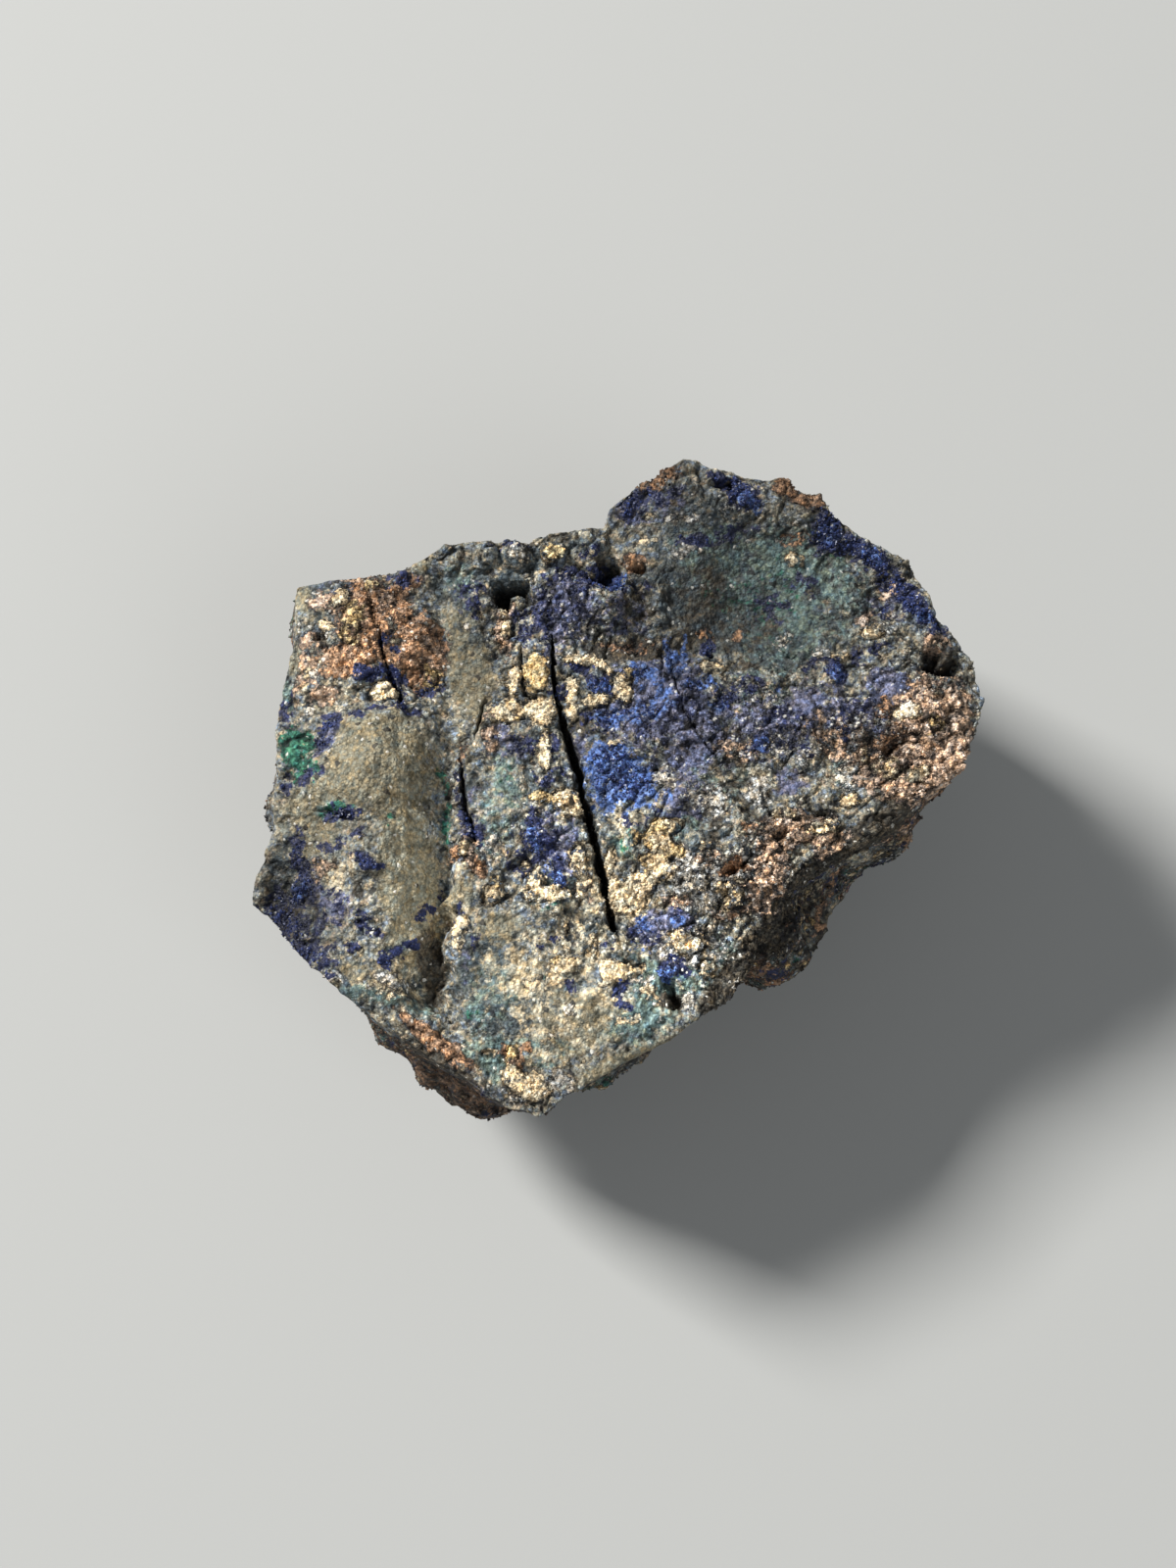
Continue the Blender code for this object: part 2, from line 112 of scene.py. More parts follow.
# Broad swells (+) and hollows (-) of the face: middle x, y, reach along, across, turn in degrees, height.
SWELLS = {
    "left_lobe": (-27.0, -7.0, 6.5, 15.0, -3, 3.4),
    "olive_dome": (-27.8, 1.5, 6.0, 5.5, 0, 1.8),
    "dome_crease": (-30.0, 8.8, 7.0, 1.3, 6, -1.2),
    "back_left_bench": (-28.5, 15.5, 8.0, 5.0, 0, 1.3),
    "bench_hollow": (-23.5, 12.0, 1.8, 3.0, 20, -0.9),
    "middle_band": (-11.4, -5.0, 5.0, 22.0, -5, 1.2),
    "centre_swell": (6.0, 0.0, 9.0, 10.0, 0, 1.6),
    "back_hollow": (13.5, 19.0, 9.5, 7.0, 10, -3.2),
    "back_ridge": (8.0, 31.5, 14.0, 3.0, -10, 1.5),
    "brown_hollow": (0.5, 16.2, 4.2, 2.0, 0, -1.1),
    "lumpy_shelf": (-5.0, 19.8, 6.0, 2.4, 0, 1.3),
    "right_bank": (31.0, 6.0, 6.0, 6.0, 0, 1.0),
    "front_right_bank": (14.0, -5.5, 7.0, 3.4, 22, 1.3),
    "front_right_fall": (11.0, -18.0, 6.0, 5.0, 0, -1.5),
    "front_left_fall": (-36.0, -13.0, 4.0, 6.0, 30, -2.0),
}

# Round lumps that stand on the face: middle x, y, radius, height.
LUMPS = [
    (-16.2, 25.2, 2.3, 1.3), (-11.8, 24.9, 1.7, 1.6), (-7.9, 25.3, 1.5, 1.2), (-19.6, 25.0, 2.0, 0.9),
    (-3.6, 26.6, 1.7, 0.9), (6.2, -10.5, 1.7, 0.9), (11.8, -11.0, 1.4, 1.0), (8.8, -11.6, 1.4, 0.9),
    (14.9, -10.3, 1.6, 1.1), (9.5, -14.0, 1.5, 0.8), (5.6, -14.6, 1.8, 0.6), (-1.2, 19.9, 2.9, 0.9),
]  # fmt: skip

# Trough beside the left lobe, back to front: x, y, reach of its left wall, reach of its right wall, depth.
TROUGH = [
    (-20.4, 21.5, 2.0, 1.6, 0.8), (-19.8, 16.0, 2.2, 1.6, 1.2), (-19.1, 10.6, 2.2, 1.5, 1.4),
    (-18.9, 4.2, 2.3, 1.2, 1.8), (-19.3, -1.1, 2.6, 1.1, 2.2), (-19.1, -6.3, 2.8, 1.1, 2.6),
    (-19.2, -11.5, 3.0, 1.0, 3.2), (-19.9, -16.6, 3.0, 1.0, 4.0), (-20.0, -21.2, 2.6, 1.1, 3.8),
    (-18.9, -24.8, 2.0, 1.2, 2.0), (-17.4, -26.8, 1.4, 1.2, 0.8),
]  # fmt: skip

# Cracks in the face, back to front: x, y, half width. Then the depth.
FISSURES = {
    "main_fissure": (
        [
            (-8.2, 16.0, 0.15), (-7.9, 12.8, 0.45), (-7.7, 10.1, 0.35), (-7.2, 7.6, 0.40),
            (-6.5, 5.3, 0.75), (-5.5, 2.6, 0.85), (-5.1, 0.5, 0.70), (-4.6, -2.1, 0.45), (-3.9, -5.0, 0.60),
            (-3.1, -7.3, 0.75), (-2.5, -9.9, 0.70), (-2.2, -12.0, 0.40), (-1.6, -14.4, 0.60),
            (-1.1, -16.0, 0.35),
        ],
        4.5,
    ),
    "hairline_below_it": ([(-1.1, -16.0, 0.25), (-0.3, -18.5, 0.16), (0.3, -20.5, 0.10)], 0.7),
    "left_fissure": (
        [
            (-17.7, 3.0, 0.20), (-17.6, 0.5, 0.40), (-17.3, -1.6, 0.30), (-16.8, -3.4, 0.35),
            (-16.3, -5.2, 0.30), (-15.9, -6.5, 0.15),
        ],
        2.2,
    ),
    "crack_above_it": ([(-15.0, 9.4, 0.15), (-15.7, 6.9, 0.35), (-16.3, 4.4, 0.15)], 1.2),
    "bench_crack": (
        [
            (-28.2, 21.5, 0.25), (-27.5, 19.3, 0.38), (-26.9, 17.1, 0.34), (-26.0, 13.5, 0.36),
            (-25.0, 10.6, 0.42), (-24.0, 8.5, 0.30),
        ],
        1.8,
    ),
    "cream_block_crack": (
        [(-11.3, 14.6, 0.25), (-11.2, 11.0, 0.32), (-10.9, 9.4, 0.42), (-9.2, 8.6, 0.20)],
        1.4,
    ),
    "right_hairline": ([(5.0, 13.0, 0.20), (6.0, 8.0, 0.30), (8.0, 4.4, 0.26), (10.0, 1.6, 0.15)], 1.2),
    "lobe_crack": ([(-33.0, -3.3, 0.15), (-31.3, -3.6, 0.45), (-29.6, -4.5, 0.50), (-27.6, -5.3, 0.15)], 1.0),
    "rib_crack": ([(4.0, 16.2, 0.15), (3.9, 13.6, 0.30), (3.6, 10.9, 0.15)], 0.8),
}  # fmt: skip
CRACK_OPENNESS = 0.7  # share of a crack's width that stands open at the surface
FULL_DEPTH_WIDTH = 0.45  # half width from which a crack reaches its full depth
CROWDING = {"main_fissure": (2.2, 1.5), "left_fissure": (1.2, 1.4)}  # reach, power: cells crowd to a crack
CROWDING_FADE = 0.05  # outer share of the face over which that stops

# Pits: middle x, y, reach along, reach across, turn in degrees, depth.
PITS = {
    "cavern": (-12.3, 20.8, 3.0, 1.5, -12, 3.8),
    "blue_pit": (-2.0, 22.9, 2.4, 2.1, 0, 2.1),
    "right_edge_pit": (33.8, 13.0, 2.6, 2.1, -10, 2.8),
    "rust_pit": (11.3, -8.9, 2.1, 1.0, 25, 1.6),
    "tan_pit": (16.1, -5.6, 1.1, 0.8, 0, 1.1),
    "front_pit": (5.0, -22.4, 1.5, 1.6, 0, 2.3),
    "back_edge_pit": (10.8, 32.6, 1.9, 1.0, -10, 1.5),
    "rusty_socket": (1.2, 24.0, 1.0, 0.7, 0, 1.3),
    "dark_socket": (9.0, 14.6, 0.8, 0.6, 0, 1.0),
    "right_bank_socket": (27.7, 3.9, 1.2, 0.8, 0, 1.2),
    "tan_socket": (20.7, -3.1, 0.8, 0.6, 0, 1.2),
    "bench_hole": (-32.9, 15.7, 0.8, 0.5, 0, 0.9),
    "bench_hole_beside": (-32.6, 14.2, 0.5, 0.5, 0, 0.7),
    "middle_hole": (2.9, 1.4, 0.5, 0.4, 0, 0.8),
    "right_hole_above": (18.1, 14.7, 0.7, 0.5, 0, 0.9),
}
RUBBLE_LIMIT = 0.4  # most that broken pieces raise or lower the floor of a pit

# Relief of the broken rock: size, height, noise seed. The walls are rougher than the face.
WALL_RELIEF = [(13.0, 1.2, 11), (5.0, 0.5, 12), (1.2, 0.12, 17)]
FACE_RELIEF = [(9.0, 0.5, 21), (3.4, 0.35, 22)]
REST_RELIEF = [(7.0, 0.8, 33), (2.2, 0.3, 34)]
WALL_CHIPS = [(14.0, 2.2, 14), (6.5, 1.1, 15), (3.0, 0.45, 16), (1.5, 0.25, 18)]
FACE_CHIPS = [(7.0, 0.30, 24), (3.0, 0.28, 25)]
EDGE_ROUGHNESS = 0.25  # share of the wall relief that is left at the edge of the face

# How the trough, the cracks and the pits wander and fray: size, distance or share, noise seed.
TROUGH_WANDER = [(3.4, 1.5, 26), (1.3, 0.8, 27)]
CRACK_WANDER = [(2.2, 0.40, 42), (0.8, 0.22, 43)]
CRACK_FRAY = [(1.3, 0.55, 41), (0.6, 0.40, 47)]
PIT_WANDER = {"right": [(2.4, 1.0, 111), (0.9, 0.35, 112)], "back": [(2.4, 1.0, 113), (0.9, 0.35, 114)]}
PIT_RUBBLE = [(1.5, 0.6, 115), (0.7, 0.3, 116)]


def lattice_random(corners, seed):
    """Three numbers from -1 to 1 for each corner of a whole-number lattice, mixed from it and a seed."""
    key = corners @ np.array([73856093, 19349663, 83492791]) + seed * 2654435761
    key = (key ^ (key >> 13)) * 1274126177 & 0xFFFFFFFF
    key = (key ^ (key >> 15)) * 2246822519 & 0xFFFFFFFF
    return np.stack([(key >> shift & 255) / 127.5 - 1 for shift in (0, 8, 16)], axis=1)


def gradient_noise(points, seed):
    """Smooth noise from about -1 to 1: a random slope at each corner of a lattice, blended by a quintic."""
    corner = np.floor(points).astype(np.int64)
    part = points - corner
    blend = part**3 * (part * (part * 6 - 15) + 10)
    total = np.zeros(len(points))
    for step in itertools.product((0, 1), repeat=3):
        slope = lattice_random(corner + step, seed)
        weight = np.prod(np.where(step, blend, 1 - blend), axis=1)
        total += weight * np.sum(slope * (part - step), axis=1)
    return total * 1.3


def chip_noise(points, seed):
    """Facets of broken rock: each cell of a jittered lattice has a flat facet at its own height and tilt.

    Cells meet along narrow blended edges, because a cell's weight falls off steeply with distance.
    """
    corner = np.floor(points).astype(np.int64)
    total = np.zeros(len(points))
    weights = np.zeros(len(points))
    for step in itertools.product((-1, 0, 1), repeat=3):
        place, tilt = lattice_random(corner + step, seed), lattice_random(corner + step, seed + 1)
        away = points - (corner + step + 0.5 + 0.4 * place)
        weight = np.exp(-16 * np.sqrt(np.sum(away**2, axis=1)))
        total += weight * (0.6 * place[:, 0] + 0.9 * np.sum(away * tilt, axis=1))
        weights += weight
    return total / weights


def relief(noise, points, octaves):
    """Sum of one kind of noise over several sizes and heights."""
    return sum(height * noise(points / size, seed) for size, height, seed in octaves)


def smooth_step(low, high, value):
    """0 below low, 1 above high, and an S-shaped rise between them."""
    part = np.clip((value - low) / (high - low), 0, 1)
    return part * part * (3 - 2 * part)


def outline_reach(outline, angle):
    """Distance from the origin to a closed outline, and its height there, looking out at each angle.

    The outline is straight between its points: the reach is where the ray crosses the edge.
    """
    points = np.array(outline, float)
    bearing = np.arctan2(points[:, 1], points[:, 0])
    points = points[np.argsort(bearing)]
    after = np.searchsorted(np.sort(bearing), angle) % len(points)
    start, end = points[after - 1], points[after]
    edge = end - start
    ray = np.stack([np.cos(angle), np.sin(angle)], axis=1)
    cross = ray[:, 0] * edge[:, 1] - ray[:, 1] * edge[:, 0]
    reach = (start[:, 0] * edge[:, 1] - start[:, 1] * edge[:, 0]) / cross
    if points.shape[1] == 2:
        return reach, None
    along = np.hypot(*(ray * reach[:, None] - start[:, :2]).T) / np.hypot(edge[:, 0], edge[:, 1])
    return reach, start[:, 2] + along * edge[:, 2]


def ellipse_distance(x, y, ellipse):
    """Squared distance from an ellipse's middle, counted in its own reaches: 1 on its outline."""
    middle_x, middle_y, along, across, turn = ellipse
    turn = math.radians(turn)
    right, back = x - middle_x, y - middle_y
    first = (right * math.cos(turn) + back * math.sin(turn)) / along
    second = (back * math.cos(turn) - right * math.sin(turn)) / across
    return first**2 + second**2


def nearest_on_path(x, y, path):
    """Nearest place on a path of straight pieces: its columns there, how far off it is, and on which side.

    A path runs towards the front, so a positive cross product means the left side seen from above.
    """
    path = np.array(path, float)
    away = np.full(len(x), np.inf)
    here = np.zeros((len(x), path.shape[1]))
    leftward = np.zeros(len(x), bool)
    for start, end in zip(path, path[1:]):
        edge = end[:2] - start[:2]
        right, back = x - start[0], y - start[1]
        along = np.clip((right * edge[0] + back * edge[1]) / (edge @ edge), 0, 1)
        there = start + along[:, None] * (end - start)
        distance = np.hypot(x - there[:, 0], y - there[:, 1])
        closer = distance < away
        away = np.where(closer, distance, away)
        here[closer] = there[closer]
        leftward = np.where(closer, edge[1] * right - edge[0] * back > 0, leftward)
    return here, away, leftward


def drawn_to_path(x, y, path, reach, power, fade):
    """Crowds points towards a path, so that cells are small along a crack.

    A distance d becomes reach (d / reach)^power, as far as fade allows.
    """
    here, away, _ = nearest_on_path(x, y, path)
    factor = np.clip(away / reach, 1e-6, 1) ** (power - 1)
    factor = 1 + (factor - 1) * fade
    return here[:, 0] + (x - here[:, 0]) * factor, here[:, 1] + (y - here[:, 1]) * factor


def face_height(x, y):
    """Height of the face: a leaning plane with bell-shaped swells, domed lumps, a trough and rough relief."""
    height = FACE_HEIGHT + FACE_RISE * y
    for *ellipse, rise in SWELLS.values():
        height = height + rise * np.exp(-ellipse_distance(x, y, ellipse))
    for middle_x, middle_y, radius, rise in LUMPS:
        dome = 1 - ((x - middle_x) ** 2 + (y - middle_y) ** 2) / radius**2
        height = height + rise * np.sqrt(np.clip(dome, 0, 1))
    flat = np.stack([x, y, np.zeros(len(x))], axis=1)
    here, away, leftward = nearest_on_path(x + relief(gradient_noise, flat, TROUGH_WANDER), y, TROUGH)
    height = height - here[:, 4] * np.exp(-((away / np.where(leftward, here[:, 2], here[:, 3])) ** 2))
    return height + relief(gradient_noise, flat, FACE_RELIEF) + relief(chip_noise, flat, FACE_CHIPS)


def crack_depth(x, y):
    """Depth of the cracks: a V across each path, which wanders and has a ragged width."""
    flat = np.stack([x, y, np.zeros(len(x))], axis=1)
    ragged = np.clip(1 + relief(gradient_noise, flat, CRACK_FRAY), 0.4, 2)
    wander = relief(gradient_noise, flat, CRACK_WANDER)
    depth = np.zeros(len(x))
    for path, deepest in FISSURES.values():
        here, away, _ = nearest_on_path(x + wander, y, path)
        across = away / (CRACK_OPENNESS * here[:, 2] * ragged)
        deepest_here = deepest * np.clip(here[:, 2] / FULL_DEPTH_WIDTH, 0, 1)
        depth = np.maximum(depth, deepest_here * np.clip(1.15 - across, 0, 1))
    return depth


def pit_depth(x, y):
    """Depth of the pits: bowls with a ragged outline and a broken floor."""
    flat = np.stack([x, y, np.zeros(len(x))], axis=1)
    right, back = (relief(gradient_noise, flat, PIT_WANDER[way]) for way in ("right", "back"))
    rubble = np.clip(relief(chip_noise, flat, PIT_RUBBLE), -RUBBLE_LIMIT, RUBBLE_LIMIT)
    depth = np.zeros(len(x))
    for *ellipse, deepest in PITS.values():
        reach = min(ellipse[2:4])
        inside = 1 - ellipse_distance(x + reach * right, y + reach * back, ellipse)
        depth = np.maximum(depth, (deepest + rubble) * smooth_step(-0.05, 0.9, inside))
    return depth


# The camera, which the patches are placed from. Its picture is 1200 by 1600 pixels.
CAMERA_TARGET = (-4.17, 0.0, 34.0)
CAMERA_DISTANCE = 240.0
CAMERA_ELEVATION = 70.0  # degrees above the level from which it looks down
PICTURE_MIDDLE = (600, 800)
PIXELS_PER_MM = 9.6  # at the target

# Patches of mineral on the face, placed as the camera sees them. All are in pixels of its picture:
# middle across and down, reach across, reach up, turn clockwise in degrees, strength.
PATCHES = {
    "granular": [
        (780, 745, 90, 62, 10, 0.9), (930, 730, 55, 70, 0, 1.2), (790, 880, 80, 45, -25, 1.1),
        (370, 650, 70, 50, 0, 0.35), (710, 925, 60, 40, -10, 0.9), (590, 620, 60, 45, 0, 0.7),
        (650, 760, 40, 70, 0, 0.5), (860, 920, 90, 45, -38, 0.9), (760, 970, 80, 45, -38, 0.9),
        (560, 860, 50, 70, 0, 0.5), (620, 930, 70, 50, 0, 0.3), (500, 640, 24, 40, 0, 0.4),
        (310, 890, 30, 60, 10, 0.1), (900, 600, 50, 40, 40, 0.6),
    ],
    "smooth": [
        (590, 1025, 60, 34, -20, 0.55), (560, 980, 40, 24, 0, 0.3), (625, 1000, 26, 22, 0, 0.3),
        (468, 965, 11, 34, 0, 1), (500, 1000, 16, 30, 0, 0.8), (600, 1052, 46, 22, -20, 0.6),
        (672, 950, 30, 15, 0, 0.5), (910, 708, 20, 18, 0, 0.8), (395, 780, 52, 45, 0, 1.1),
        (422, 890, 34, 70, 0, 0.8), (476, 670, 22, 62, -15, 1.2), (508, 945, 22, 13, 0, 1.2),
        (470, 918, 16, 20, 0, 1.1), (805, 800, 20, 16, 0, 1), (822, 718, 16, 12, 0, 0.9),
        (600, 1050, 70, 26, -25, 0.9), (770, 605, 75, 60, 0, 1), (700, 545, 60, 34, 0, 0.8),
        (515, 810, 20, 34, 0, 0.8), (640, 1085, 50, 10, -25, 0.9), (575, 1010, 40, 20, 0, 0.4),
        (345, 890, 34, 60, 0, 0.6), (325, 700, 30, 40, 0, 0.7), (318, 625, 30, 30, 0, 0.7),
        (400, 1000, 50, 30, 0, 0.5), (350, 600, 40, 20, 0, 0.4), (520, 1015, 30, 40, 0, 0.6),
        (480, 990, 16, 40, 0, 0.6), (650, 560, 40, 20, 0, 0.4), (868, 600, 30, 16, 30, 0.4),
    ],
    "olive": [
        (305, 612, 22, 20, 0, 0.9), (298, 680, 14, 40, 0, 0.6), (330, 725, 14, 14, 0, 0.5),
        (508, 950, 22, 17, 0, 1.25), (500, 996, 18, 34, 0, 0.95), (600, 1050, 52, 28, -20, 0.75),
        (560, 1020, 50, 34, 0, 0.65), (590, 940, 30, 20, 0, 0.4), (750, 600, 60, 50, 0, 0.45),
        (770, 562, 26, 14, 0, 0.7), (735, 650, 16, 14, 0, 0.6), (815, 655, 18, 10, 0, 0.5),
        (390, 782, 58, 56, 0, 1.15), (418, 905, 34, 88, -6, 1.1), (320, 845, 44, 50, 0, 0.8),
        (395, 1000, 50, 40, 0, 0.6), (478, 680, 22, 72, -10, 1.15), (473, 960, 14, 40, 0, 0.6),
        (335, 1005, 40, 30, 30, 0.5), (470, 918, 15, 18, 0, 1.2), (433, 575, 18, 9, -15, 0.6),
        (700, 600, 60, 40, 0, 0.3), (760, 790, 16, 12, 0, 0.7), (600, 1045, 60, 25, -25, 0.6),
        (600, 880, 16, 22, 0, 0.5), (640, 1082, 60, 12, -25, 1), (812, 620, 20, 20, 0, 0.4),
    ],
    "slate": [
        (638, 858, 18, 15, 0, 0.8), (475, 976, 8, 34, 0, 0.85), (494, 1033, 22, 13, 0, 0.6),
        (400, 1000, 44, 40, 0, 0.4), (590, 980, 80, 60, 0, 0.3), (500, 1000, 40, 60, 0, 0.34),
        (640, 830, 60, 50, 0, 0.3), (560, 860, 40, 60, 0, 0.3), (478, 640, 16, 40, -10, 0.45),
        (330, 640, 24, 50, 10, 0.45), (310, 730, 24, 30, 0, 0.4), (500, 590, 60, 22, -15, 0.6),
        (448, 600, 10, 12, 0, 0.7), (520, 600, 16, 10, 0, 0.8), (590, 560, 40, 10, 0, 0.6),
        (700, 520, 60, 22, 10, 0.55), (720, 560, 50, 22, 0, 0.5), (770, 600, 90, 65, 0, 1.1),
        (800, 660, 50, 34, 0, 0.6), (560, 780, 40, 50, 0, 0.4), (640, 720, 40, 30, 0, 0.5),
        (330, 600, 24, 10, 0, 0.5), (292, 705, 8, 24, 0, 0.6), (480, 800, 16, 40, 0, 0.5),
        (610, 960, 26, 20, 0, 0.4), (690, 960, 34, 24, 0, 0.5), (285, 880, 14, 40, 20, 0.5),
        (345, 1010, 40, 16, 40, 0.5), (300, 900, 20, 24, 20, 0.5), (490, 985, 24, 30, 0, 0.4),
        (880, 640, 30, 22, 40, 0.4), (870, 600, 40, 16, 40, 0.6), (520, 1040, 40, 22, 0, 0.35),
        (722, 860, 20, 30, 0, 0.6), (760, 730, 34, 24, 0, 0.35), (455, 860, 8, 60, 0, 0.5),
        (696, 609, 41.5, 38, 0, 0.7),
    ],
    "sand": [
        (636, 850, 14, 26, 0, 0.8), (655, 935, 20, 16, 0, 0.5), (600, 985, 90, 60, 0, 0.46),
        (532, 1012, 44, 48, 0, 0.36), (475, 925, 20, 50, 0, 0.2), (600, 900, 50, 30, 0, 0.5),
        (560, 1070, 50, 24, 0, 0.5), (395, 1000, 40, 24, 0, 0.45), (345, 895, 26, 16, 0, 0.6),
        (760, 800, 40, 20, 0, 0.35), (560, 760, 30, 26, 0, 0.35), (690, 925, 40, 20, 0, 0.4),
        (330, 700, 30, 30, 0, 0.4), (660, 1030, 30, 24, 0, 0.5),
    ],
    "violet": [
        (672, 950, 34, 17, 0, 1.1), (912, 706, 24, 22, 0, 1.2), (895, 690, 18, 12, 0, 0.7),
        (684, 990, 22, 12, 0, 0.7), (475, 975, 7, 30, 0, 0.4), (575, 625, 36, 34, 0, 1),
        (560, 680, 14, 20, 0, 0.7), (640, 625, 26, 20, 0, 0.6), (690, 715, 26, 24, 0, 0.6),
        (750, 745, 60, 44, 0, 0.45), (690, 790, 34, 34, 0, 0.6), (698, 828, 24, 18, 0, 0.8),
        (668, 705, 46, 44, 0, 1.2), (640, 740, 40, 30, 0, 0.5), (712, 760, 30, 40, 0, 0.55),
        (840, 725, 44, 34, 0, 0.62), (795, 735, 40, 30, 0, 0.45), (660, 520, 44, 14, -15, 0.6),
        (520, 765, 20, 18, 0, 0.6), (822, 716, 14, 10, 0, 1.1), (806, 800, 17, 13, 0, 1),
        (345, 930, 22, 20, 0, 0.6), (335, 760, 8, 26, 20, 0.7), (428, 690, 12, 10, 0, 0.6),
        (590, 760, 14, 30, 0, 0.6), (508, 750, 10, 22, 0, 0.6), (690, 940, 24, 14, 0, 0.6),
        (880, 735, 20, 20, 0, 0.7), (905, 745, 12, 16, 0, 0.5), (700, 690, 16, 30, 0, 0.5),
        (480, 840, 10, 40, 10, 0.5), (350, 600, 30, 12, 0, 0.4), (905, 610, 26, 14, 40, 0.5),
        (470, 1105, 20, 10, 20, 0.5), (560, 850, 30, 40, 0, 0.4), (575, 872, 16, 24, 0, 0.7),
        (318, 900, 14, 24, 0, 0.6), (730, 905, 30, 14, 0, 0.5),
    ],
    "teal": [
        (664, 1006, 24, 22, 0, 0.9), (510, 1088, 16, 20, 0, 0.8), (512, 810, 22, 38, 0, 0.7),
        (500, 860, 16, 20, 0, 0.5), (660, 1040, 44, 24, -20, 0.7), (735, 975, 22, 24, -30, 0.7),
        (495, 1072, 26, 18, 0, 0.9), (545, 1072, 40, 16, 0, 0.5), (640, 862, 20, 18, 0, 0.6),
        (780, 580, 90, 54, 0, 0.36), (800, 650, 44, 34, 0, 0.5), (840, 600, 50, 44, 40, 0.46),
        (770, 700, 40, 20, 0, 0.4), (500, 1020, 30, 30, 0, 0.45), (740, 800, 34, 28, 0, 0.4),
        (720, 555, 40, 14, 0, 0.4), (292, 712, 8, 18, 0, 0.7), (380, 1018, 30, 10, 10, 0.7),
        (440, 1030, 14, 16, 0, 0.5), (330, 832, 14, 8, 0, 0.6), (700, 850, 20, 12, 0, 0.5),
        (800, 560, 30, 20, 0, 0.5), (865, 790, 14, 26, 0, 0.5), (690, 1000, 34, 24, 0, 0.65),
        (650, 985, 20, 26, 0, 0.5), (655, 1035, 16, 16, 0, 0.7), (520, 640, 8, 16, 0, 0.4),
        (470, 590, 20, 14, 0, 0.5), (575, 905, 20, 10, 0, 0.5), (420, 1025, 16, 10, 0, 0.5),
    ],
    # shadow: painted shadow in the trough, pits, overhangs and on flanks that face away from the light, and
    # dark brown ground in places.
    "shadow": [
        (728, 600, 18, 30, 0, 0.4), (795, 625, 14, 8, 30, 0.4), (828, 600, 8, 12, 0, 0.5),
        (765, 675, 14, 8, 0, 0.45), (820, 520, 30, 8, 30, 0.5), (690, 510, 24, 8, -20, 0.5),
        (560, 548, 30, 6, 0, 0.5), (640, 525, 16, 8, 0, 0.6), (420, 1075, 40, 10, 35, 0.8),
        (690, 600, 40, 40, 0, 0.15), (695, 625, 34, 40, 0, 0.3), (645, 660, 40, 16, 0, 1),
        (620, 665, 24, 10, 0, 0.7), (650, 620, 20, 16, 0, 0.6), (760, 640, 40, 40, 0, 0.4),
        (730, 575, 40, 22, 0, 0.2), (900, 845, 60, 18, -38, 1.2), (870, 880, 70, 24, -38, 1.3),
        (830, 930, 60, 40, -38, 1.2), (780, 975, 60, 26, -38, 1.3), (740, 1010, 40, 14, -38, 1),
        (594, 742, 12, 16, 0, 0.9), (612, 572, 9, 10, 0, 0.7), (500, 607, 20, 9, 0, 0.6),
        (440, 985, 13, 46, -6, 1.2), (455, 800, 7, 30, 0, 0.7), (686, 1022, 12, 12, 0, 1.2),
        (965, 677, 17, 15, 0, 1.3), (367, 912, 6, 20, -12, 0.7), (330, 660, 7, 12, 0, 0.8),
        (395, 655, 10, 7, 0, 0.8), (388, 645, 4, 34, -15, 0.5), (740, 497, 12, 6, 20, 0.9),
        (700, 745, 8, 10, 0, 0.7), (740, 900, 10, 8, 0, 0.6), (800, 858, 6, 4, 0, 0.6),
        (850, 832, 6, 6, 0, 1), (888, 757, 10, 8, 0, 0.8), (905, 722, 9, 14, 0, 0.8),
        (725, 850, 16, 24, 0, 0.5), (455, 1090, 50, 10, 35, 1.1), (560, 600, 16, 8, 0, 0.5),
        (505, 760, 9, 14, 0, 0.6), (315, 905, 12, 22, 0, 0.4), (690, 770, 18, 14, 0, 0.4),
        (745, 795, 36, 32, 0, 0.55), (700, 650, 26, 12, 0, 0.5), (540, 700, 6, 6, 0, 0.8),
        (760, 930, 20, 10, -30, 0.6), (278, 945, 20, 40, 35, 1.1), (300, 975, 20, 16, 40, 0.9),
        (440, 860, 10, 20, 0, 0.4),
    ],
    "pale": [
        (720, 905, 40, 22, -10, 0.8), (690, 880, 20, 16, 0, 0.6), (790, 890, 16, 24, 0, 0.5),
        (705, 965, 36, 18, 0, 0.75), (720, 820, 26, 18, 0, 0.5), (810, 765, 34, 22, 0, 0.3),
        (582, 640, 10, 6, 0, 0.5), (770, 705, 30, 14, 20, 0.42), (862, 745, 26, 22, 0, 0.4),
        (770, 870, 24, 14, 0, 0.5), (775, 812, 12, 16, 0, 0.8), (650, 1000, 20, 14, 0, 0.35),
        (528, 568, 10, 8, 0, 1.2), (582, 675, 11, 6, 0, 1.2), (703, 1022, 7, 8, 0, 0.8),
        (565, 1105, 20, 14, 0, 0.7), (395, 1005, 24, 10, 0, 0.35), (340, 1000, 14, 8, 0, 0.4),
        (322, 690, 5, 4, 0, 1.3), (317, 724, 5, 4, 0, 1.2), (580, 1030, 6, 5, 0, 1),
        (745, 520, 8, 6, 0, 0.6), (700, 530, 20, 6, 0, 0.5), (700, 560, 14, 8, 0, 0.4),
        (500, 870, 12, 16, 0, 0.4), (680, 800, 12, 16, 0, 0.4), (800, 645, 12, 10, 0, 0.4),
        (845, 668, 14, 7, 10, 0.7), (530, 1120, 24, 8, 0, 0.6), (480, 640, 10, 4, 0, 0.6),
        (866, 790, 9, 24, 0, 0.8), (905, 640, 12, 8, 0, 0.5), (668, 806, 10, 14, -20, 0.3),
        (600, 640, 8, 10, 0, 0.4),
    ],
    "malachite": [
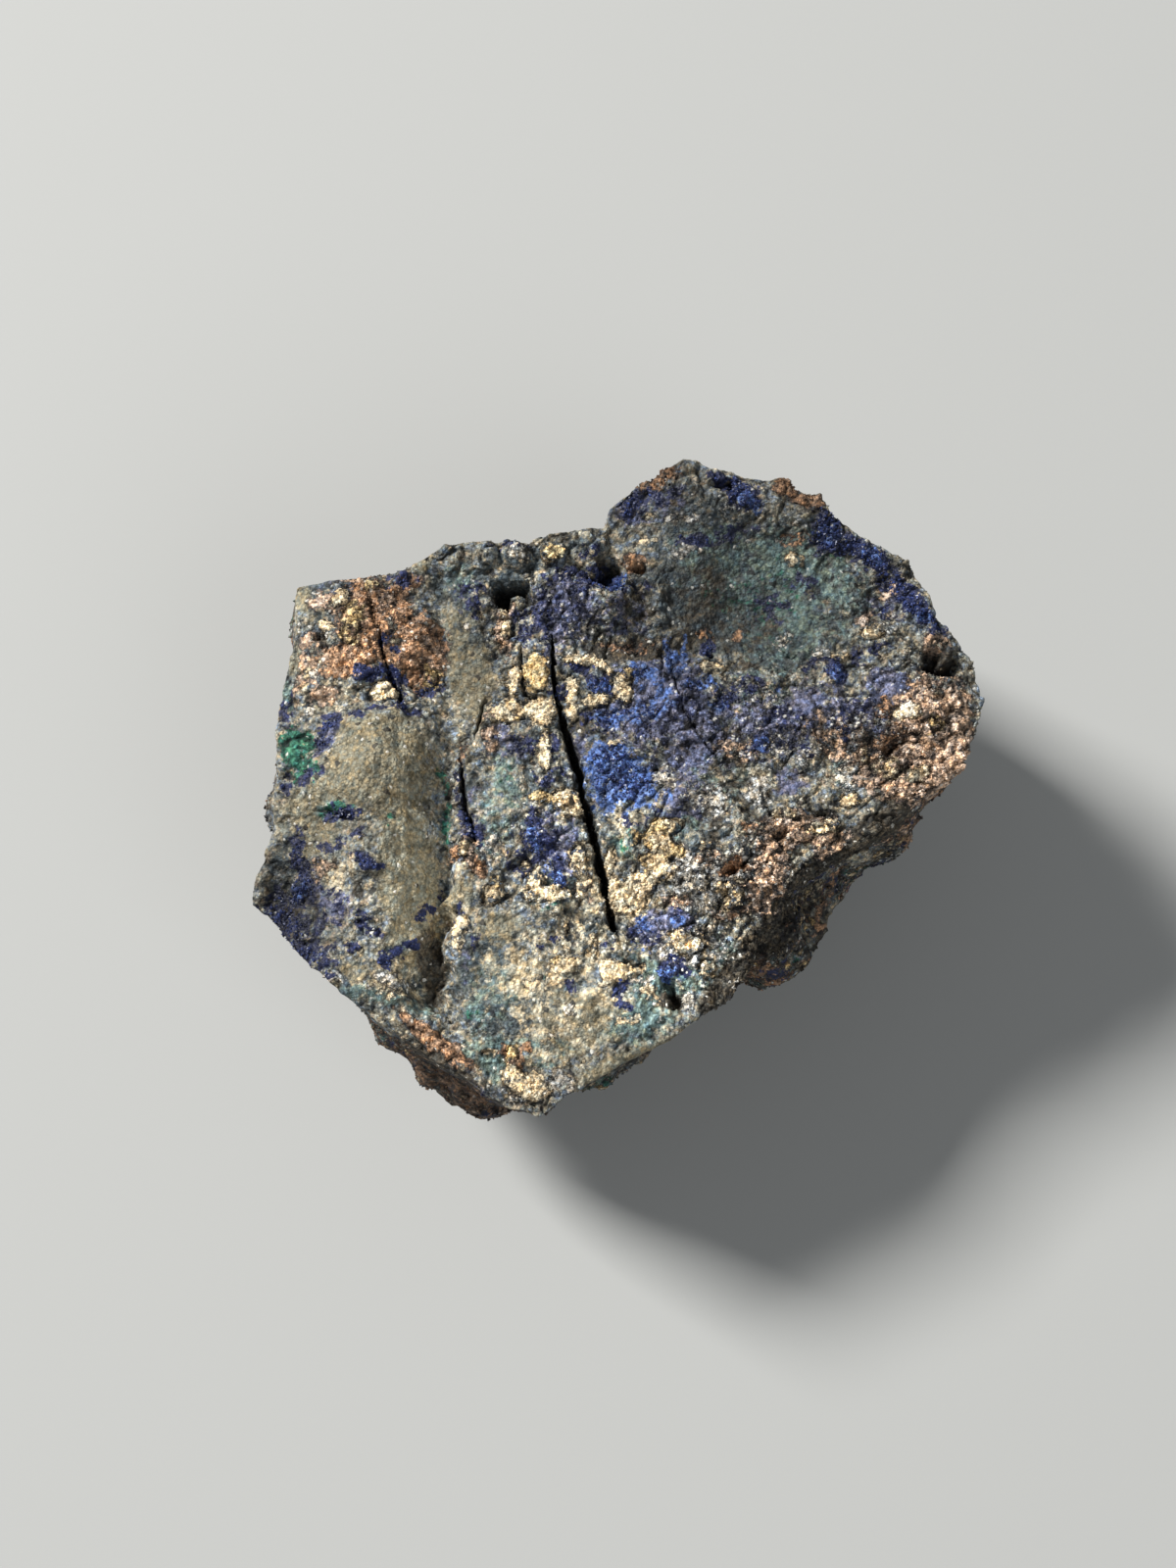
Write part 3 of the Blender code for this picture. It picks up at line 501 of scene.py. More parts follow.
        (302, 765, 16, 23, 10, 1.25), (313, 793, 13, 14, 0, 1.1), (338, 833, 14, 6, 0, 1),
        (352, 835, 10, 5, 0, 0.7), (455, 838, 6, 24, 0, 0.7), (452, 790, 5, 20, 0, 0.5),
        (790, 600, 40, 50, 0, 0.2), (640, 862, 12, 14, 0, 0.35), (560, 925, 24, 10, 0, 0.2),
        (520, 790, 12, 24, 0, 0.2), (482, 1035, 12, 10, 0, 0.22), (730, 600, 30, 20, 0, 0.15),
        (400, 848, 10, 6, 0, 0.5), (850, 560, 20, 14, 40, 0.2), (560, 1000, 24, 14, 0, 0.12),
    ],
    "rust": [
        (750, 886, 17, 9, -20, 1.2), (795, 852, 10, 8, 0, 0.9), (905, 763, 16, 11, 0, 0.9),
        (644, 572, 10, 8, 0, 0.9), (370, 638, 24, 42, 10, 1.25), (408, 622, 12, 26, 0, 1),
        (430, 668, 26, 34, 0, 1.25), (352, 682, 26, 16, 10, 1.05), (418, 592, 14, 8, 0, 0.8),
        (392, 672, 20, 12, 0, 0.6), (672, 494, 22, 9, -25, 1.2), (801, 496, 13, 10, 10, 1.3),
        (822, 511, 18, 9, 25, 1.3), (755, 641, 6, 8, 0, 1.1), (650, 578, 9, 8, 0, 0.9),
        (487, 886, 9, 12, 0, 1), (463, 871, 5, 9, 0, 0.9), (430, 1052, 36, 8, 33, 0.9),
        (455, 1070, 34, 8, 33, 0.8), (470, 1088, 20, 6, 35, 0.2), (527, 1085, 8, 14, 0, 1.1),
        (537, 1070, 6, 6, 0, 0.8), (765, 905, 10, 6, -20, 0.5), (470, 768, 5, 14, 0, 0.6),
        (850, 905, 60, 14, -38, 0.6), (905, 725, 16, 16, 0, 0.5), (800, 855, 20, 14, 0, 0.5),
        (962, 752, 14, 20, 0, 0.9), (955, 768, 18, 10, 0, 0.9), (640, 655, 30, 8, 0, 0.45),
        (810, 550, 16, 8, 0, 0.4), (380, 600, 30, 8, 0, 0.4), (720, 640, 10, 6, 0, 0.5),
        (570, 985, 8, 10, 0, 0.6), (515, 1075, 8, 8, 0, 0.5), (770, 850, 16, 10, 0, 0.4),
        (932, 758, 30, 26, 0, 0.75), (905, 790, 20, 14, 0, 0.5),
    ],
    "pink": [
        (438, 664, 14, 20, 0, 0.35), (392, 612, 10, 14, 0, 0.5), (954, 746, 38, 54, 0, 1.1),
        (965, 775, 26, 22, 0, 1.1), (900, 790, 26, 24, 0, 0.9), (930, 800, 24, 16, 0, 1),
        (815, 848, 34, 16, -8, 1.15), (790, 875, 18, 30, 0, 0.8), (850, 860, 22, 10, -35, 0.8),
        (775, 912, 22, 18, 0, 0.7), (482, 865, 8, 26, 0, 0.5), (516, 640, 10, 28, 0, 1),
        (500, 750, 9, 24, 0, 0.6), (334, 615, 20, 14, 0, 0.5), (312, 680, 14, 36, 8, 0.35),
        (330, 710, 16, 10, 0, 0.6), (372, 585, 34, 8, 0, 0.4), (910, 600, 12, 10, 0, 0.6),
        (882, 628, 12, 10, 0, 0.5), (955, 655, 14, 8, 30, 0.7), (720, 880, 14, 10, 0, 0.5),
        (740, 930, 14, 10, 0, 0.5), (690, 920, 16, 8, 0, 0.5), (600, 905, 8, 16, 0, 0.4),
        (330, 890, 14, 12, 0, 0.4), (755, 765, 30, 16, 0, 0.32), (865, 760, 24, 20, 0, 0.5),
        (840, 740, 24, 16, 0, 0.35),
    ],
    "azurite": [
        (392, 655, 6, 7, 0, 1.1), (404, 668, 4, 9, -20, 0.9), (912, 590, 14, 12, 30, 1.3),
        (927, 606, 14, 10, 30, 1.1), (558, 765, 12, 12, 0, 0.7), (530, 760, 14, 10, 0, 0.7),
        (560, 795, 18, 12, 0, 0.8), (543, 850, 16, 20, 0, 0.9), (562, 872, 14, 22, 0, 0.95),
        (572, 900, 9, 14, 0, 0.9), (530, 880, 14, 16, 0, 0.6), (548, 640, 28, 22, 0, 0.6),
        (590, 600, 20, 24, 30, 0.6), (570, 590, 20, 10, -30, 0.6), (618, 590, 17, 15, 0, 1.2),
        (640, 600, 24, 10, 0, 0.5), (843, 545, 18, 17, 0, 1.5), (868, 556, 16, 13, 20, 1.4),
        (892, 569, 17, 12, 30, 1.5), (850, 528, 14, 8, 20, 0.9), (935, 618, 18, 9, 30, 1.1),
        (952, 636, 18, 9, 30, 1.2), (757, 508, 17, 15, 30, 1.5), (738, 492, 16, 9, 25, 1.2),
        (706, 552, 16, 5, 0, 1), (740, 545, 34, 8, -10, 0.6), (660, 515, 30, 10, -15, 0.8),
        (640, 520, 14, 12, 0, 0.8), (723, 656, 7, 9, 0, 1.3), (853, 685, 10, 13, 0, 1.3),
        (878, 668, 10, 10, 30, 0.8), (838, 680, 20, 10, 0, 0.5), (740, 715, 16, 14, 0, 0.7),
        (302, 868, 9, 18, 5, 0.9), (312, 902, 14, 22, 0, 0.9), (285, 925, 20, 24, 30, 1),
        (300, 960, 22, 28, 40, 0.9), (325, 980, 24, 14, 40, 0.7), (337, 868, 18, 7, 5, 0.9),
        (375, 886, 16, 7, 12, 1.2), (385, 893, 10, 5, 0, 1), (370, 862, 8, 5, 0, 0.9),
        (363, 842, 14, 6, 5, 1), (345, 838, 16, 8, 10, 1), (338, 930, 18, 18, 0, 0.6),
        (372, 945, 9, 11, 0, 1.1), (385, 958, 7, 6, 0, 0.9), (365, 972, 10, 6, 0, 1.2),
        (394, 985, 9, 10, 0, 1.3), (408, 975, 8, 6, 0, 0.8), (421, 964, 8, 5, 0, 1.1),
        (432, 930, 12, 7, -20, 0.7), (345, 968, 14, 8, 0, 0.6), (372, 692, 16, 8, 10, 1.3),
        (398, 690, 14, 8, 0, 1.3), (410, 712, 5, 14, -10, 1.1), (438, 702, 12, 8, -20, 1.1),
        (420, 728, 14, 6, 20, 0.9), (366, 737, 8, 5, 0, 1.1), (340, 738, 10, 13, 0, 1.2),
        (330, 760, 10, 14, 20, 1), (292, 722, 8, 20, 0, 0.8), (318, 800, 14, 8, -30, 0.9),
        (290, 803, 8, 10, 0, 0.8), (386, 727, 16, 5, 0, 0.6), (478, 838, 8, 26, -15, 1.1),
        (490, 850, 12, 8, 20, 0.9), (470, 800, 6, 20, 0, 0.5), (480, 610, 16, 18, 0, 0.7),
        (410, 590, 16, 8, 0, 0.7), (650, 950, 13, 13, 0, 0.6), (668, 957, 8, 8, 0, 0.5),
        (686, 985, 16, 11, 0, 1), (692, 936, 10, 9, 0, 0.5), (633, 1010, 5, 14, 15, 1.1),
        (638, 1027, 9, 4, 10, 1.2), (620, 965, 10, 8, 0, 0.9), (585, 1010, 5, 14, -25, 0.5),
        (560, 965, 14, 8, -20, 0.5), (685, 830, 20, 14, 10, 0.35), (560, 620, 10, 22, 0, 0.5),
        (760, 700, 20, 16, 0, 0.5), (780, 760, 24, 14, 0, 0.4), (800, 735, 24, 16, 0, 0.4),
        (880, 720, 16, 10, 0, 0.6), (896, 660, 12, 8, 0, 0.6), (860, 740, 12, 18, 0, 0.45),
        (820, 760, 16, 12, 0, 0.4), (700, 720, 14, 30, 0, 0.6), (665, 735, 24, 20, 0, 0.55),
        (612, 735, 22, 16, 0, 0.75), (590, 685, 14, 7, 5, 1.2), (612, 702, 13, 11, 0, 1.2),
        (571, 708, 12, 7, 0, 1.1), (520, 560, 20, 6, 0, 0.6), (600, 560, 16, 8, 0, 0.5),
        (480, 1112, 14, 6, 20, 1), (455, 1095, 16, 5, 30, 0.5), (835, 1000, 20, 8, -38, 0.1),
        (450, 905, 8, 10, 0, 0.4), (650, 840, 20, 8, 0, 0.4), (470, 940, 8, 20, 0, 0.5),
        (490, 960, 10, 16, 0, 0.4), (790, 610, 20, 16, 0, 0.4), (820, 590, 20, 10, 30, 0.5),
        (900, 620, 16, 8, 30, 0.6),
    ],
    "royal": [
        (545, 860, 10, 14, 0, 0.8), (560, 890, 8, 10, 0, 0.6), (305, 905, 8, 16, 0, 0.5),
        (626, 592, 16, 14, 0, 1), (628, 796, 30, 32, 8, 1.35), (615, 770, 18, 10, 0, 0.7),
        (652, 808, 14, 16, 0, 1), (684, 665, 7, 22, -14, 1), (697, 662, 5, 18, 0, 0.8),
        (660, 690, 12, 9, 0, 0.55), (650, 684, 12, 8, 0, 0.6), (680, 712, 10, 16, -40, 0.5),
        (664, 702, 30, 30, 0, 0.15), (660, 730, 20, 12, 0, 0.4), (572, 902, 8, 12, 0, 1),
        (612, 702, 10, 8, 0, 0.8), (718, 697, 16, 8, 0, 0.9), (672, 820, 14, 10, 0, 0.4),
        (764, 514, 14, 9, 35, 1.2), (853, 687, 8, 9, 0, 0.9), (723, 657, 5, 6, 0, 0.8),
        (845, 545, 12, 10, 0, 0.8), (890, 567, 12, 8, 30, 0.7), (945, 628, 14, 7, 30, 0.7),
        (735, 718, 12, 10, 0, 0.6), (776, 760, 10, 8, 0, 0.6), (790, 700, 8, 6, 0, 0.5),
        (680, 990, 10, 7, 0, 0.55), (655, 944, 11, 9, 0, 0.7), (690, 944, 11, 7, 0, 0.55),
        (652, 968, 13, 7, 0, 0.6), (625, 733, 22, 10, 0, 0.5),
    ],
    "ochre": [
        (671, 853, 10, 14, 20, 1.45), (685, 868, 13, 8, 35, 1.35), (678, 874, 10, 9, 0, 1.1),
        (662, 884, 9, 10, -20, 0.8), (549, 817, 7, 6, 0, 1.2), (564, 822, 16, 6, 20, 0.8),
        (548, 688, 12, 18, 0, 1.5), (525, 1078, 8, 12, 0, 0.9), (568, 983, 8, 8, 0, 1),
        (505, 905, 6, 10, 0, 0.5), (560, 915, 16, 6, 0, 0.6), (518, 727, 14, 12, 0, 0.7),
        (360, 640, 12, 26, 10, 0.7), (640, 690, 8, 10, 0, 0.8), (380, 595, 8, 6, 0, 0.6),
        (440, 690, 10, 12, 0, 0.5), (955, 745, 10, 10, 0, 0.4), (640, 915, 14, 8, -30, 0.6),
        (868, 820, 8, 5, 0, 0.9), (563, 568, 9, 8, 0, 1.1), (650, 860, 8, 8, 0, 0.6),
    ],
    "cream": [
        (676, 862, 12, 16, 10, 0.7), (688, 846, 10, 8, 0, 0.5), (623, 991, 13, 11, 0, 0.9),
        (566, 994, 12, 12, 0, 0.7), (540, 1112, 12, 12, 0, 0.6), (524, 698, 9, 16, 0, 1.1),
        (516, 727, 18, 12, 0, 1), (552, 729, 15, 14, 0, 1.3), (555, 768, 6, 22, 0, 1),
        (584, 822, 18, 12, 25, 0.9), (583, 705, 8, 10, 0, 1.1), (583, 725, 7, 16, 0, 1.1),
        (612, 680, 16, 5, 35, 1.1), (635, 703, 10, 14, -10, 1), (610, 716, 14, 5, 5, 1.1),
        (590, 675, 14, 6, 0, 0.9), (671, 887, 9, 12, -30, 1.2), (655, 901, 13, 14, -40, 1.15),
        (637, 918, 17, 15, -20, 1.2), (622, 880, 6, 14, 0, 0.8), (648, 925, 14, 8, 0, 0.8),
        (628, 905, 8, 16, 0, 0.8), (592, 885, 11, 24, -5, 0.85), (562, 915, 30, 8, 0, 0.8),
        (545, 900, 12, 8, 20, 0.7), (505, 915, 14, 12, 0, 0.6), (464, 960, 8, 26, 0, 0.6),
        (470, 945, 8, 10, 0, 0.6), (642, 990, 14, 10, 0, 0.8), (578, 985, 14, 10, 0, 0.85),
        (605, 968, 7, 16, 0, 0.7), (622, 996, 14, 12, 0, 0.9), (580, 955, 7, 18, 10, 0.6),
        (550, 1005, 18, 8, 0, 0.3), (868, 815, 9, 8, 0, 1.1), (927, 729, 11, 9, 0, 1.3),
        (916, 733, 6, 6, 0, 0.9), (812, 566, 8, 5, 20, 0.8), (546, 1110, 16, 14, 0, 1),
        (523, 1100, 10, 14, 0, 0.8), (332, 642, 9, 6, 0, 1.2), (393, 710, 15, 9, 0, 1.5),
        (348, 612, 10, 9, 0, 0.8), (890, 645, 12, 8, 0, 0.9), (860, 668, 10, 5, 0, 0.8),
        (727, 678, 14, 7, 0, 0.9), (518, 645, 7, 9, 0, 0.8), (513, 625, 5, 8, 0, 0.8),
        (660, 552, 14, 6, 0, 0.45), (662, 528, 12, 5, 0, 0.4), (800, 835, 14, 6, 0, 0.7),
        (840, 845, 16, 8, -20, 0.8), (905, 785, 14, 12, 0, 0.7), (935, 790, 14, 10, 0, 0.7),
        (880, 770, 8, 10, 0, 0.6), (700, 960, 22, 12, 0, 0.8), (720, 985, 12, 12, 0, 0.5),
        (475, 870, 5, 14, 0, 0.6), (475, 945, 5, 8, 0, 0.6), (400, 1015, 16, 8, 10, 0.4),
        (745, 920, 16, 8, -20, 0.6), (690, 890, 12, 8, 0, 0.6), (720, 870, 16, 8, 0, 0.4),
        (625, 760, 4, 4, 0, 1.3), (585, 700, 6, 4, 0, 0.8), (500, 1075, 8, 6, 0, 0.5),
        (560, 1060, 12, 10, 0, 0.35), (735, 905, 20, 8, 0, 0.5), (535, 885, 8, 6, 0, 0.5),
        (640, 1040, 14, 8, 0, 0.5), (665, 1015, 16, 10, 0, 0.6),
    ],
}  # fmt: skip

# How much of each mineral there is on the broken sides, and the size of its patches there.
SIDE_MINERALS = {
    "granular": (0.6, 8.0), "smooth": (0.2, 8.0), "olive": (0.6, 9.0), "slate": (0.6, 7.0),
    "sand": (0.35, 7.0), "violet": (0.4, 8.0), "teal": (0.5, 8.0), "shadow": (1.0, 12.0),
    "pale": (0.25, 4.0), "malachite": (0.4, 6.0), "rust": (0.65, 7.0), "pink": (0.3, 5.0),
    "azurite": (0.55, 6.0), "royal": (0.1, 5.0), "ochre": (0.25, 4.0), "cream": (0.25, 4.0),
}  # fmt: skip
SIDE_CLOUD_SEEDS = (60, 80)  # of the first mineral's clouds and of the finer clouds on them
PATCH_WANDER = [(2.6, 0.55, 51), (0.9, 0.28, 54)]  # how the patches' outlines wander; y takes the next seeds
FACE_MINERAL_LEVEL = 1.5  # the face's patches keep their full strength this far below it
FACE_MINERAL_DEPTH = 1.8  # and fade over this distance down the broken sides


def seen_at(pixel_across, pixel_down):
    """Place x, y on the leaning plane of the face that the camera sees at a pixel.

    It is the camera's place plus a share of the pixel's ray. The share is the one at which the ray's height
    is the plane's: the face's height plus its rise times y.
    """
    level = math.cos(math.radians(CAMERA_ELEVATION))
    steep = math.sin(math.radians(CAMERA_ELEVATION))
    right = (pixel_across - PICTURE_MIDDLE[0]) / PIXELS_PER_MM
    up = (PICTURE_MIDDLE[1] - pixel_down) / PIXELS_PER_MM
    start_y = CAMERA_TARGET[1] - CAMERA_DISTANCE * level
    start_z = CAMERA_TARGET[2] + CAMERA_DISTANCE * steep
    ray_y = CAMERA_DISTANCE * level + up * steep
    ray_z = up * level - CAMERA_DISTANCE * steep
    share = (FACE_HEIGHT + FACE_RISE * start_y - start_z) / (ray_z - FACE_RISE * ray_y)
    return CAMERA_TARGET[0] + share * right, start_y + share * ray_y


def patch_on_face(patch):
    """A patch's ellipse on the face, to a tenth of a millimetre, its turn in degrees and its strength."""
    across, down, reach_across, reach_up, clockwise, strength = patch
    x, y = seen_at(across, down)
    reach_x = seen_at(across + reach_across, down)[0] - x
    reach_y = seen_at(across, down - reach_up)[1] - y
    return *(round(value, 1) for value in (x, y, reach_x, reach_y)), -clockwise, strength


def mineral_shares(points):
    """Share of each mineral at each point: wandering patches on the face, clouds on the sides."""
    wander = [
        relief(gradient_noise, points, [(size, reach, seed + axis) for size, reach, seed in PATCH_WANDER])
        for axis in (0, 1)
    ]
    x, y = points[:, 0] + wander[0], points[:, 1] + wander[1]
    below = np.clip(face_height(points[:, 0], points[:, 1]) - FACE_MINERAL_LEVEL - points[:, 2], 0, None)
    on_face = np.exp(-((below / FACE_MINERAL_DEPTH) ** 2))
    on_side = on_face < 0.98
    there = points[on_side]
    shares = {}
    for order, (name, patches) in enumerate(PATCHES.items()):
        share = on_face * sum(
            strength * np.exp(-(ellipse_distance(x, y, ellipse) ** 1.8))
            for *ellipse, strength in map(patch_on_face, patches)
        )
        amount, size = SIDE_MINERALS[name]
        cloud = gradient_noise(there / size, SIDE_CLOUD_SEEDS[0] + order)
        cloud = cloud + 0.4 * gradient_noise(there / (size / 3), SIDE_CLOUD_SEEDS[1] + order)
        share[on_side] += amount * smooth_step(-0.1, 0.6, cloud) * (1 - on_face[on_side])
        shares[name] = share
    return shares


# Relief of the crusts: size, height, noise seed.
CRUST_FACETS = [(4.2, 0.42, 99), (1.9, 0.27, 91), (0.9, 0.17, 92)]
CRUST_SWELLS = [(2.4, 0.25, 93), (1.2, 0.14, 94), (0.55, 0.08, 95)]
CRUST_GRAINS = [(1.5, 0.09, 100), (0.85, 0.12, 102), (0.5, 0.11, 103)]
KNOB_SIZE, KNOB_HEIGHT, KNOB_SEED = 1.25, 0.32, 108  # round lumps of the right bank
RIDGE_SPACING, RIDGE_HEIGHT, RIDGE_SEED = 1.3, 0.15, 107  # network of thin ridges on the sandy ground
RIDGE_WIDTH = 0.22  # as a share of their spacing
BLOCK_LEVEL, BLOCK_HEIGHT = 0.38, 0.28  # share from which cream and ochre stand up as a block, and how high
CREVICE_DEPTH = 0.42
WIDE_CREVICES = (2.1, 0.10, 96)  # spacing, width as a share of it, noise seed
NARROW_CREVICES = (1.1, 0.14, 104)
OPEN_GROUND_SIZE, OPEN_GROUND_SEED = 3.7, 105  # stretches of ground on which the narrow crevices show


def dome_noise(points, seed):
    """Rounded grains packed side by side: a dome over each jittered lattice point, with creases between them.

    Height falls with the squared distance from the nearest middle; each grain stands at its own level.
    """
    corner = np.floor(points).astype(np.int64)
    nearest = np.full(len(points), np.inf)
    level = np.zeros(len(points))
    for step in itertools.product((-1, 0, 1), repeat=3):
        place = lattice_random(corner + step, seed)
        away = np.sum((points - (corner + step + 0.5 + 0.42 * place)) ** 2, axis=1)
        closer = away < nearest
        nearest = np.where(closer, away, nearest)
        level = np.where(closer, place[:, 0], level)
    return 0.7 - 1.7 * nearest + 0.35 * level


def crevices(points, spacing, width, seed):
    """Thin winding crevices, 1 in the middle of each: lines along which a smooth noise crosses zero."""
    return np.exp(-((gradient_noise(points / spacing, seed) / width) ** 2))


def crust_relief(points, shares):
    """Relief of the crusts, and how far each point lies in a crevice (up to 1) or on a ridge (down to -0.5).

    Crusts are packed grains cut by crevices, and stand as blocks with a narrow moat round them. The right
    bank is round lumps with gaps, the sandy ground has a network of thin ridges, broken ground is facets, and
    smooth ground is nearly plain.
    """
    crusty = sum(shares[name] for name in ("pink", "cream", "ochre", "pale")) + 0.4 * shares["rust"]
    smooth = np.clip(shares["smooth"] + 0.5 * shares["olive"], 0, 1)
    packed = np.clip(0.25 + 0.5 * shares["granular"] + 0.4 * crusty - 0.4 * smooth, 0.15, 1.1)
    rough = np.clip(0.9 + 0.2 * shares["granular"] - 0.7 * smooth, 0.2, 1.1)
    knobbly = np.clip(1.3 * shares["pink"] - 0.2, 0, 1)
    ridged = np.clip(0.8 * (shares["sand"] + shares["cream"] + shares["teal"]) - 0.4 * smooth, 0, 1)
    block = np.clip(shares["cream"] + shares["ochre"] - 0.5 * shares["sand"], 0, 1)
    moat = np.exp(-(((block - BLOCK_LEVEL) / 0.10) ** 2)) * (1 - smooth)

    facets, swells = relief(chip_noise, points, CRUST_FACETS), relief(gradient_noise, points, CRUST_SWELLS)
    grains, knobs = relief(dome_noise, points, CRUST_GRAINS), dome_noise(points / KNOB_SIZE, KNOB_SEED)
    off_ridge = np.abs(gradient_noise(points / RIDGE_SPACING, RIDGE_SEED)) / RIDGE_WIDTH
    ridge = np.clip(1 - off_ridge, 0, 1) * ridged
    wide, narrow = crevices(points, *WIDE_CREVICES), crevices(points, *NARROW_CREVICES)
    open_ground = gradient_noise(points / OPEN_GROUND_SIZE, OPEN_GROUND_SEED)
    open_ground = smooth_step(-0.25, 0.25, open_ground)
    crevice = rough * (0.65 * wide + 0.6 * narrow * open_ground) * (1 - 0.5 * ridged)
    crevice = crevice + 0.6 * knobbly * (1 - smooth_step(-0.2, 0.15, knobs)) + 0.7 * moat
    crevice = np.clip(crevice, 0, 1)

    height = rough * (facets + swells) + packed * grains + KNOB_HEIGHT * knobbly * knobs
    height = height + RIDGE_HEIGHT * ridge - CREVICE_DEPTH * crevice
    height = height + BLOCK_HEIGHT * smooth_step(BLOCK_LEVEL, 0.55, block)
    return height, crevice - 0.5 * ridge * (1 - crevice)


def calmer_on_walls(normals):
    """Share of the crusts' relief that is left: all of it on level ground, under half on steep walls."""
    return 0.45 + 0.55 * smooth_step(0.25, 0.75, normals[:, 2])


def lump_points(across, back, level):
    """Moves the points of a box from -1 to 1 onto the lump, in millimetres.

    A square layer of the box becomes a disc by the elliptical map, and the disc is stretched to an outline:
    on top to the face's edge, down the walls from the face's edge by way of the waist to the rest's edge.
    """
    disc_x = across * np.sqrt(1 - back**2 / 2)
    disc_y = back * np.sqrt(1 - across**2 / 2)
    angle = np.arctan2(disc_y, disc_x)
    out = np.hypot(disc_x, disc_y)
    ray = np.stack([np.cos(angle), np.sin(angle)], axis=1)
    face_reach, _ = outline_reach(FACE_EDGE, angle)
    waist_reach, waist_height = outline_reach(WAIST, angle)
    rest_reach, _ = outline_reach(REST_EDGE, angle)

    down = (1 - level) / 2
    upper = np.clip(down / WAIST_LEVEL, 0, 1)
    lower = np.clip((down - WAIST_LEVEL) / (1 - WAIST_LEVEL), 0, 1)
    plain = ray * (out * face_reach)[:, None]
    x, y = plain.T
    inside = np.clip((1 - out) / CROWDING_FADE, 0, 1)
    for name, (reach, power) in CROWDING.items():
        x, y = drawn_to_path(x, y, FISSURES[name][0], reach, power, inside)
    worn = np.clip((out - 1 + WORN_SHARE) / WORN_SHARE, 0, 1)
    top = face_height(x, y) - EDGE_WEAR * worn**2
    reach = face_reach + upper * (waist_reach - face_reach) + lower * (rest_reach - waist_reach)
    height = top + upper * (waist_height - top) - lower * waist_height
    points = np.column_stack([ray * (out * reach)[:, None] + np.stack([x, y], axis=1) - plain, height])

    roughness = np.where(down > 0, np.clip(5 * down, EDGE_ROUGHNESS, 1), EDGE_ROUGHNESS * worn)
    outward = relief(chip_noise, points, WALL_CHIPS) + relief(gradient_noise, points, WALL_RELIEF)
    downward = relief(chip_noise, points[:, ::-1], WALL_CHIPS)
    points[:, :2] += ray * (outward * roughness)[:, None]
    points[:, 2] += downward * roughness * np.clip(3 * down * (1 - down), 0, 0.5)
    return points


def ring_faces(outer, inner):
    """Two triangles for each cell between two closed rings of equal count, facing away from the inside."""
    after_outer, after_inner = np.roll(outer, -1), np.roll(inner, -1)
    first = np.stack([outer, inner, after_inner], axis=1)
    return np.concatenate([first, np.stack([outer, after_inner, after_outer], axis=1)])


def face_grid(cells):
    """Top layer of a box from -1 to 1: its points, its triangles and the loop of points round its edge."""
    side = cells + 1
    line = np.linspace(-1, 1, side)
    back, across = (axis.ravel() for axis in np.meshgrid(line, line, indexing="ij"))
    index = np.arange(side * side).reshape(side, side)
    corner = [index[:-1, :-1], index[:-1, 1:], index[1:, 1:], index[1:, :-1]]
    a, b, c, d = (part.ravel() for part in corner)
    triangles = np.concatenate([np.stack([a, b, c], axis=1), np.stack([a, c, d], axis=1)])
    loop = np.concatenate([index[0, :-1], index[:-1, -1], index[-1, :0:-1], index[:0:-1, 0]])
    return np.stack([across, back, np.ones(side * side)], axis=1), triangles, loop


def walled_box(cells, levels):
    """The grid over a box's top and one ring of points at each level down its walls, from 0 at the top to 1.

    It gives the points, a list of arrays of triangles, and the lowest ring.
    """
    box, face_triangles, ring = face_grid(cells)
    boxes, triangles = [box], [face_triangles]
    count, edge = len(box), box[ring, :2]
    for down in levels:
        below = count + np.arange(len(edge))
        triangles.append(ring_faces(ring, below))
        boxes.append(np.column_stack([edge, np.full(len(edge), 1 - 2 * down)]))
        count += len(edge)
        ring = below
    return np.concatenate(boxes), triangles, ring


def lump_mesh_arrays():
    """Points and triangles of the whole closed lump: the face's grid, rings down the walls, rings underneath.

    Also how far down the wall each point is, from 0 on the face to 1 at the rest.
    """
    fine = np.linspace(0, EDGE_SHARE, EDGE_ROWS + 1)[1:]
    coarse = np.linspace(EDGE_SHARE, 1, WALL_ROWS + 1)[1:]
    box, triangles, ring = walled_box(ROCK_CELLS, np.concatenate([fine, coarse]))
    points, down = lump_points(*box.T), (1 - box[:, 2]) / 2
    points[ring, 2] = 0
    rim = points[ring]
    middle = rim.mean(axis=0)
    for share in np.linspace(1, 0, REST_RINGS + 2)[1:-1]:
        inner = middle + (rim - middle) * share
        inner[:, 2] = np.clip(relief(gradient_noise, inner, REST_RELIEF), 0, 0.7)
        below = len(points) + np.arange(len(inner))
        triangles.append(ring_faces(ring, below))
        points = np.concatenate([points, inner])
        ring = below
    triangles.append(np.stack([ring, np.full(len(ring), len(points)), np.roll(ring, -1)], axis=1))
    points = np.concatenate([points, [middle]])
    points[:, 2] = np.clip(points[:, 2], 0, None)
    return points, np.concatenate(triangles), np.concatenate([down, np.ones(len(points) - len(down))])


def point_normals(points, triangles):
    """Normal at each point: the sum of its triangles' edge cross products, which weighs them by area."""
    a, b, c = (points[triangles[:, corner]] for corner in range(3))
    cross = np.cross(b - a, c - a)
    total = np.zeros_like(points)
    for corner in range(3):
        for axis in range(3):
            total[:, axis] += np.bincount(triangles[:, corner], cross[:, axis], len(points))
    return total / np.linalg.norm(total, axis=1, keepdims=True)


